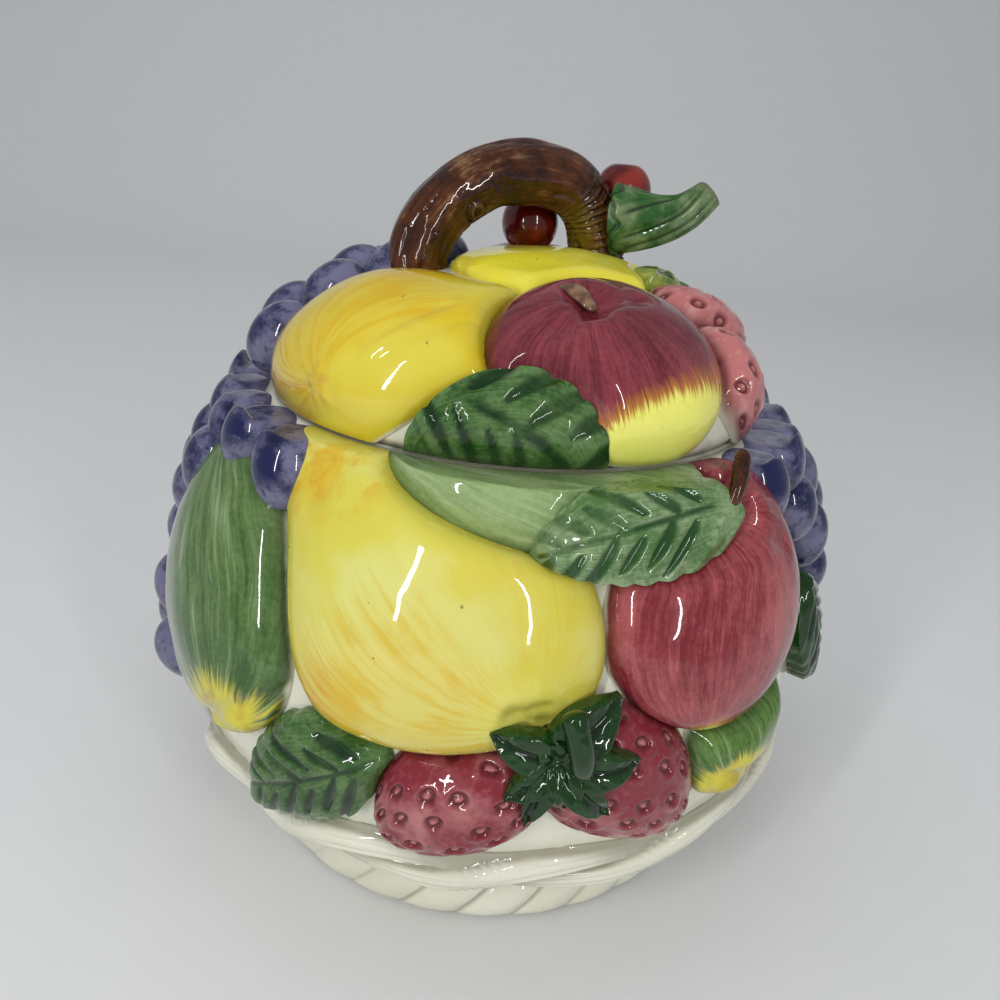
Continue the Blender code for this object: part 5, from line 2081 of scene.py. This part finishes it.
@dataclass
class Calyx:
    """The leafy star that lies over the strawberries: pointed lobes round a flat hub.

    The centre and the lobes' tips are flat places at the spot, u up and v to the right.
    """

    node: str
    spot: Spot
    centre: tuple[float, float]
    lobes: tuple[tuple[float, float, float], ...]
    under: list[Moulding]
    valley: float = 8.5 * MM
    thickness: float = 2.6 * MM
    groove: float = 1.6 * MM
    fold_pitch: float = 4.6 * MM
    curl: float = 2.4 * MM
    hub_radius: float = 8 * MM

    def bed(self, u: Array, v: Array) -> Array:
        """Give the height of what lies under the star, with the valley between the berries filled.

        Args:
            u: flat places upwards.
            v: flat places to the right.

        Returns:
            The height out of the wall at each place.
        """
        wall = self.spot.wrap(u, v, np.zeros_like(u))
        high = np.max([piece.height_over(wall) for piece in self.under], axis=0)
        soft = 1.5 * MM
        return soft * np.logaddexp(high / soft, self.valley / soft)

    def lobe(self, number: int, tip_u: float, tip_v: float, width: float) -> Piece:
        """Model one lobe: a groove down its middle, side folds and a raised rim.

        Args:
            number: which lobe this is.
            tip_u: where its tip is, upwards.
            tip_v: where its tip is, to the right.
            width: its greatest width.

        Returns:
            The lobe.
        """
        piece, along, around = ball(f"{self.node}_{number}", 56, 60)
        t = (1 - np.cos(np.pi * along)) / 2
        half = width / 2 * Outline(0.34, 0.76).width(t)
        side = around - 0.5
        top = np.abs(side) <= 0.25
        back = np.sign(side) * np.cos(2 * math.pi * (np.abs(side) - 0.25))
        x = np.where(top, np.sin(2 * math.pi * side), back)
        mid_u, mid_v = self.centre
        length = math.hypot(tip_u - mid_u, tip_v - mid_v)
        bearing = math.atan2(tip_v - mid_v, tip_u - mid_u)
        s = t * length
        w = half * x
        sway = 0.06 * length * math.sin(2.3 * number) * np.sin(np.pi * t)
        u = mid_u + s * math.cos(bearing) - (w + sway) * math.sin(bearing)
        v = mid_v + s * math.sin(bearing) + (w + sway) * math.cos(bearing)
        groove = bell(w, 0.9 * MM) * smooth(t, 0.04, 0.16) * (1 - smooth(t, 0.85, 1.0))
        folds = np.abs(np.sin(math.pi * (s - 0.9 * np.abs(w)) / self.fold_pitch))
        rim = np.abs(x) ** 4 * np.sqrt(np.clip(1 - x ** 2, 0, 1)) * 2
        face = self.thickness * np.sqrt(np.clip(1 - x ** 6, 0, 1)) + 1.5 * MM * rim - self.groove * groove
        face = face - 0.5 * MM * (1 - folds) * smooth(np.abs(x), 0.1, 0.5) * (1 - rim)
        curl = self.curl * np.sin(np.pi * np.clip(t * 1.1, 0, 1)) - 1.6 * MM * smooth(t, 0.75, 1.0)
        curl = curl + 0.8 * MM * x * math.sin(1.7 * number + 0.6)
        height = self.bed(u, v) + np.where(top, face + curl, -3 * MM * np.sqrt(np.clip(1 - x ** 2, 0, 1)))
        dark = np.maximum(groove, 0.6 * (1 - smooth(folds, 0.0, 0.35)) * (np.abs(x) > 0.15))
        # The lobes' rims are marked as edge, which the leaf glaze paints paler as a highlight.
        marks = {"vein": dark * top, "edge": smooth(np.abs(x), 0.7, 1.0), "rise": np.ones_like(x)}
        return model(piece, self.spot.wrap(u, v, height), marks)

    def hub(self) -> Piece:
        """Model the flat mound in the middle, which reaches down to the wall.

        Returns:
            The mound.
        """
        piece, _, _ = ball(self.node + "_hub", 48, 32)
        x, y, z = places(piece).T
        u, v = self.centre[0] + z * self.hub_radius, self.centre[1] - x * self.hub_radius
        h = np.where(y > 0, (self.bed(u, v) + 2.2 * MM) * np.minimum(1, 1.6 * np.abs(y)), 2.5 * MM * y)
        marks = {"vein": 0.6 * np.ones_like(x), "edge": np.zeros_like(x), "rise": np.ones_like(x)}
        return model(piece, self.spot.wrap(u, v, h), marks)

    def build(self) -> Piece:
        """Model the star."""
        parts = [self.lobe(k, *sizes) for k, sizes in enumerate(self.lobes)]
        return join("glazed_" + self.node, [self.hub(), *parts])


# What lies on the jar, from the piece on top to the one underneath


def mm(*sizes: float) -> tuple[float, ...]:
    """Give sizes in metres for millimetres."""
    return tuple(size * MM for size in sizes)


def on_wall(spot: Spot, *places_mm: Point) -> tuple[Point, ...]:
    """Give the points u along, v across and h out of a spot, in millimetres."""
    return tuple(tuple(float(c) for c in spot.wrap(*mm(*place))) for place in places_mm)


def fruit(kind: type, node: str, spot: Spot, sizes: tuple[float, float, float], outline: Outline,
          finish: Glaze, **extra: object) -> Moulding:
    """Describe a moulded fruit: its length, width and height in millimetres."""
    return kind(node, spot, *mm(*sizes), outline, finish, **extra)


def leaf(node: str, spot: Spot, sizes: tuple[float, float, float, float], finish: Glaze,
         outline: Outline = LEAF_OUTLINE, **extra: object) -> Leaf:
    """Describe a leaf: length, width, height of its edge and crown, in millimetres."""
    length, width, edge, crown = mm(*sizes)
    return Leaf(node, spot, length, width, edge + crown, outline, finish, edge=edge, crown=crown, **extra)


JAR_MOULDING: list[Moulding] = [
    leaf("gourd_leaf", Spot(21.9, 28.5, -97), (63, 30, 10.5, 3.5), PALE_LEAF, bend=-0.9 * MM,
         rib=((36.0, 30.5), (5.4, 25.3))),
    fruit(Squash, "green_gourd", Spot(8.8, 38.6, 101), (99, 51, 12.5), Outline(0.45, 0.44), GOURD,
          bend=-1.3 * MM, knob=0.0),
    fruit(Fruit, "large_pear", Spot(-11.5, 24.0, -52), (121, 100, 16), Outline(0.57, 0.37, 0.5), PEAR,
          bend=10.5 * MM, segments=144, rings=160, blossom=(4.7, 3.4), stem=(-31, 36),
          dimples=(Dimple(4.7, 3.0, 6 * MM, 2.8 * MM, 3, 0.8 * MM),
                   Crease(((-35.2, 32.4), (-30.6, 35.1), (-25.0, 35.6)), 3.6 * MM, 0.7 * MM),
                   Crease(((-32.7, 26.2), (-28.6, 32.6)), 3.6 * MM, 0.5 * MM),
                   Crease(((2.0, 4.2), (7.0, 5.8)), 1.6 * MM, 1.0 * MM))),
    fruit(Fruit, "red_apple", Spot(35.6, 18.4, 36), (81, 76, 16), Outline(0.42, 0.42), APPLE,
          bend=-5.5 * MM, segments=128, rings=128, blossom=(31.8, -3.0), stem=(37.4, 28.5),
          dimples=(Dimple(37.4, 28.5, 8 * MM, 5.5 * MM, 3, 1.0 * MM),
                   Crease(((38.4, 27.4), (42.6, 25.0), (47.3, 22.2)), 3.0 * MM, 1.5 * MM))),
    fruit(Berry, "strawberry_left", Spot(-4.2, -13.1, -121), (51, 40, 12), Outline(0.42, 0.58), BERRY,
          bend=-4.3 * MM, segments=128, rings=128),
    fruit(Berry, "strawberry_right", Spot(19.6, -10.2, 128), (61, 44, 12), Outline(0.38, 0.7), BERRY,
          bend=4.9 * MM, segments=128, rings=128),
    fruit(Squash, "green_squash_left", Spot(-51.3, 8.8, -34), (96, 80, 13), Outline(0.45, 0.38), SQUASH,
          bend=6.7 * MM, segments=112, blossom=(-42.5, -11)),
    fruit(Squash, "green_squash_right", Spot(39.3, -3.5, 8), (50, 44, 11), Outline(0.45, 0.43),
          SMALL_SQUASH, bend=-4.3 * MM, blossom=(40.5, -12.5)),
    leaf("leaf_lower_left", Spot(-25.4, -14.0, -128), (60, 35, 4.5, 3.5), LEAF, bend=-4.5 * MM,
         rib=((-13.8, -4.9), (-35.8, -17.9))),
    leaf("leaf_right", Spot(67, 1, 150), (52, 30, 6, 4), DARK_LEAF),
    leaf("back_leaf_low", Spot(152, -13, 118), (60, 32, 5, 4), LEAF),
    leaf("back_leaf_high", Spot(-166, 31, 70), (58, 30, 9, 4), PALE_LEAF),
    leaf("side_leaf_right", Spot(109, 27, 28), (56, 32, 9, 4), LEAF),
    leaf("side_leaf_left", Spot(-112, 27, -16), (58, 33, 8, 4), PALE_LEAF),
    fruit(Fruit, "back_apple", Spot(177, 15, -8), (80, 88, 15), APPLE_OUTLINE, APPLE,
          blossom=(177, -10), stem=(178, 29), dimples=(Dimple(178, 29, 9 * MM, 5 * MM, 3, 0.6 * MM),)),
    fruit(Fruit, "back_pear", Spot(-137, 12, 18), (112, 84, 15), PEAR_OUTLINE, PEAR,
          dimples=(Dimple(-146, -10, 6 * MM, 3.5 * MM, 5, 0.5 * MM),)),
    fruit(Squash, "back_squash", Spot(131, 10, -6), (94, 76, 13), Outline(0.45, 0.4), SQUASH),
    fruit(Berry, "back_strawberry", Spot(-164, -12, 140), (56, 42, 12), BERRY_OUTLINE, BERRY,
          segments=128, rings=128),
    fruit(Fruit, "back_peach", Spot(174, -15, 90), (62, 50, 12), APPLE_OUTLINE, PEACH),
    fruit(Fruit, "side_lemon", Spot(94, -9, 80), (66, 48, 12), LEMON_OUTLINE, LEMON),
    fruit(Fruit, "side_plum", Spot(-106, -4, 8), (64, 54, 12), APPLE_OUTLINE, PLUM),
]

LID_MOULDING: list[Moulding] = [
    leaf("lid_leaf", Spot(-0.8, 29.7, 99), (78, 62, 8, 3), LEAF, Outline(0.91, 0.95),
         bend=6.9 * MM, veins=7, rib=((-11.2, 44.5), (18.5, 33.5)), segments=144, first=-2.2,
         sweeps=(0.5, 1.0), reach_out=0.56, calm=0.9, press=1.6, scallop=0.008, ripple=0.25),
    leaf("lid_small_leaf", Spot(88, 67, 100), (27, 16, 7, 3), YOUNG_LEAF, veins=4),
    fruit(Fruit, "lid_peach", Spot(27.6, 55.2, 0), (70, 76, 14.5), Outline(0.43, 0.45), PEACH,
          bend=5.6 * MM, segments=128, rings=128, blossom=(29, 30), stem=(16.5, 59.0),
          dimples=(Dimple(16.0, 60.0, 7 * MM, 3.0 * MM, 2, 1.0 * MM),
                   Crease(((7.7, 54.1), (19.1, 58.7), (31.5, 60.4)), 3.2 * MM, 2.4 * MM))),
    fruit(Fruit, "lid_pear", Spot(-41.1, 54.4, 60), (98, 90, 14.5), Outline(0.86, 0.31, 0.62), LEMON,
          bend=-1.5 * MM, segments=128, rings=128, blossom=(-38.8, 42.1),
          dimples=(Star(-38.8, 42.1, 6.2 * MM, 1.5 * MM),
                   Crease(((-32.5, 47.3), (-20.4, 57.4)), 2.2 * MM, 1.0 * MM),
                   Crease(((-27.1, 47.1), (-12.4, 56.4)), 2.0 * MM, 0.8 * MM))),
    fruit(Berry, "lid_strawberry_low", Spot(57, 47, 165), (41, 30, 11.5), BERRY_OUTLINE, PALE_BERRY),
    fruit(Berry, "lid_strawberry_high", Spot(73, 57.5, 140), (42, 32, 11.5), BERRY_OUTLINE, PALE_BERRY),
    fruit(Squash, "lid_squash", Spot(78.7, 81.1, -39), (80, 88, 9.5), Outline(0.4, 0.4), BANANA,
          knob=0.0),
    fruit(Fruit, "lid_back_apple", Spot(172, 58, 0), (66, 66, 12), APPLE_OUTLINE, APPLE,
          blossom=(172, 42), stem=(172, 70), dimples=(Dimple(172, 70, 8 * MM, 4 * MM, 3, 0.5 * MM),)),
    leaf("lid_back_leaf", Spot(124, 50, 150), (56, 34, 5, 4), LEAF),
]


def handle_knots() -> tuple[Point, ...]:
    """Give the points of the branch from its left foot over the arch to its right foot.

    Returns:
        The points.
    """
    left, right = Vector(mm(-36, 5, 0)), Vector(mm(29, 34, 0))
    crest = HANDLE_HEIGHT - HANDLE_RADIUS
    foot = RIM_HEIGHT + LID_RISE * 0.72
    ways = ((0.0, 0.0), (-0.02, 0.34), (0.08, 0.67), (0.28, 0.92), (0.52, 1.0), (0.76, 0.94), (0.92, 0.72),
            (0.99, 0.4), (1.0, 0.0))
    knots = []
    for share, rise in ways:
        point = left.lerp(right, share)
        point.z = foot + (crest - foot) * rise
        knots.append(tuple(point))
    return tuple(knots)


@dataclass
class JarFruit:
    """The moulding of the jar."""

    def calyx(self) -> Calyx:
        """Describe the star over the strawberries.

        Returns:
            The star.
        """
        lobes = ((11.6, -22.6, 12.5), (11.8, -9.7, 9), (20.5, 12.0, 16), (4.0, 17.2, 11), (-10.3, 9.5, 10),
                 (-8.9, -1.7, 9.5), (-14.4, -11.8, 7.5), (-6.5, -17.5, 9))
        below = ("strawberry_left", "strawberry_right", "large_pear")
        return Calyx("strawberry_calyx", Spot(11, -3.5, 0), mm(4.5, -4.8), tuple(mm(*lobe) for lobe in lobes),
                     [piece for piece in JAR_MOULDING if piece.node in below])

    def build(self, shop: Workshop) -> None:
        """Model and dress it.

        Args:
            shop: the workshop that places the pieces.
        """
        shop.lay(JAR_MOULDING, JAR_SEAM, JAR)
        berry_stem = on_wall(Spot(11, -3, 0), (3, 0.8, 10), (5, 0.2, 15.5), (10.5, -1.0, 18.5),
                             (16, -2.4, 18.5), (20.5, -3.4, 17))
        apple_stem = on_wall(Spot(38, 30, 18), (-4.2, -1.6, 9), (0, -0.6, 12.5), (4.7, 0.4, 14.5),
                             (14.3, 2.8, 15.5))
        left = ((30.5, -43.5, 6), (21.5, -70, 3), (13, -79, 2), (3, -83, 2), (-7, -80, 2), (-16, -74, 2))
        right = ((31, 54, 5), (22.5, 70, 4), (15, 77, 2), (5.5, 82, 2))
        shop.fit(JAR, (self.calyx(), DARK_LEAF),
                 (Branch("strawberry_stem", berry_stem, mm(3.2, 3.6, 3.5, 3.4, 4.2), 48, 80), DARK_LEAF),
                 (Branch("apple_stem", apple_stem, mm(1.0, 2.2, 2.6, 2.3), 32, 60), BARK),
                 (GrapeBunch("grape_bunch_left", left, JAR), GRAPE),
                 (GrapeBunch("grape_bunch_right", right, JAR), GRAPE))


@dataclass
class LidFruit:
    """The moulding of the lid, its branch and its cherries."""

    def build(self, shop: Workshop) -> None:
        """Model and dress it.

        Args:
            shop: the workshop that places the pieces.
        """
        shop.lay(LID_MOULDING, LID_SEAM, LID)
        stub = Branch("peach_stub", on_wall(Spot(23, 54, 0), (24, -10, 8.5), (18, -8.5, 12.5), (9, -6, 11.5)),
                      mm(1.3, 1.8, 1.0), 40, 48, flatness=2.1)
        shop.add(stub.build(), LID, STUB)
        thickness = tuple(HANDLE_RADIUS * k for k in (1.12, 0.98, 0.95, 0.98, 1.02, 1.0, 0.96, 0.94, 1.02))
        grapes = ((45, -78, 5), (56, -88, 4), (67, -100, 2))
        shoot = (mm(32, 27.5, 227), mm(46, 22, 228.3), mm(57, 19, 232.2), mm(66, 18, 240.8))
        shop.fit(LID, (Handle("branch_handle", handle_knots(), thickness, 112, 340), BARK),
                 (Shoot("handle_shoot", shoot, mm(13.8, 10.0, 6.9, 5.0), 120, 110, 0.8, 0.6), SHOOT),
                 (Cherry("cherry_middle", mm(2, 38, 222.5)), CHERRY),
                 (Cherry("cherry_right", mm(36.5, 42, 236)), CHERRY),
                 (GrapeBunch("lid_grape_bunch", grapes, LID, 0.0), GRAPE))


# The studio


@dataclass
class Studio:
    """The pale floor, the lights and the camera at the photograph's angle."""

    floor_colour: Colour = (0.72, 0.725, 0.73)
    floor_height: float = -0.4 * MM
    camera_place: Point = (-0.00704, -0.32384, 0.2552)
    camera_angles: Point = (1.1, -22.4, 5.06)
    sensor_width: float = 36.0
    lens: float = 32.4

    def floor(self) -> None:
        """Lay a plain pale floor that sweeps up behind the jar."""
        drop_selection()
        bpy.ops.mesh.primitive_grid_add(x_subdivisions=2, y_subdivisions=60, size=8.0)
        sweep = bpy.context.object
        sweep.name = "studio_floor"
        points = places(sweep)
        bend = np.clip(points[:, 1] - 1.4, 0, None)
        points[:, 2] = self.floor_height + 1.1 * bend ** 2
        set_places(sweep, points)
        bpy.ops.object.shade_smooth()
        paint = Paint("studio_floor")
        shader = paint.shader
        shader.inputs["Roughness"].default_value = 0.65
        speckle = paint.patches(40.0, 2.0, 0.2, 0.8)
        colour = paint.mix(speckle, self.floor_colour, tuple(c * 0.985 for c in self.floor_colour))
        paint.tree.links.new(colour.socket, shader.inputs["Base Color"])
        sweep.data.materials.append(paint.material)

    def lamp(self, name: str, place: Point, aim: Point, size: tuple[float, float], power: float,
             mirrored: bool = True) -> None:
        """Hang a soft rectangular lamp.

        Args:
            name: the lamp's name.
            place: where it hangs.
            aim: what it points at.
            size: its width and height.
            power: its power in watts.
            mirrored: whether the glaze mirrors it.
        """
        drop_selection()
        bpy.ops.object.light_add(type="AREA", location=place)
        lamp = bpy.context.object
        lamp.name = name
        lamp.data.shape = "RECTANGLE"
        lamp.data.size, lamp.data.size_y = size
        lamp.data.energy = power
        lamp.visible_glossy = mirrored
        lamp.rotation_euler = (Vector(aim) - Vector(place)).to_track_quat("-Z", "Y").to_euler()

    def lights(self) -> None:
        """Light the jar with two narrow windows, a wide soft light above and an even sky."""
        middle = (0.0, 0.0, 0.11)
        self.lamp("window_left", (-0.5, -0.85, 0.56), middle, (0.036, 0.66), 4.0)
        self.lamp("window_right", (0.5, -0.92, 0.5), middle, (0.028, 0.56), 2.8)
        self.lamp("ceiling", (-0.3, -0.2, 2.2), middle, (3.4, 3.0), 25.0, mirrored=False)
        world = bpy.data.worlds.new("studio_sky")
        bpy.context.scene.world = world
        world.use_nodes = True
        sky = world.node_tree.nodes["Background"]
        sky.inputs["Color"].default_value = (0.93, 0.96, 1.0, 1.0)
        sky.inputs["Strength"].default_value = 0.36

    def camera(self) -> None:
        """Set the camera where the photograph was taken from."""
        azimuth, pitch, roll = (math.radians(angle) for angle in self.camera_angles)
        ahead = Vector((math.sin(azimuth) * math.cos(pitch), math.cos(azimuth) * math.cos(pitch),
                        math.sin(pitch)))
        right = Vector((math.cos(azimuth), -math.sin(azimuth), 0.0))
        up = right.cross(ahead)
        cos, sin = math.cos(roll), math.sin(roll)
        right, up = right * cos + up * sin, up * cos - right * sin
        lens = bpy.data.cameras.new("photo_camera")
        lens.sensor_width = self.sensor_width
        lens.lens = self.lens
        lens.clip_start = 0.01
        camera = bpy.data.objects.new("photo_camera", lens)
        turn = Matrix((right, up, -ahead)).transposed()
        camera.matrix_world = Matrix.Translation(self.camera_place) @ turn.to_4x4()
        bpy.context.scene.collection.objects.link(camera)
        bpy.context.scene.camera = camera

    def build(self) -> None:
        """Set up the studio."""
        self.camera()
        self.floor()
        self.lights()
        bpy.context.scene.view_settings.view_transform = "Standard"


def main() -> None:
    """Build the jar's looks."""
    logging.basicConfig(level=logging.INFO, format="%(name)s %(message)s")
    shop = Workshop()
    Studio().build()
    for assembly in (Pottery(), JarFruit(), LidFruit()):
        assembly.build(shop)


if __name__ == "__main__":
    main()
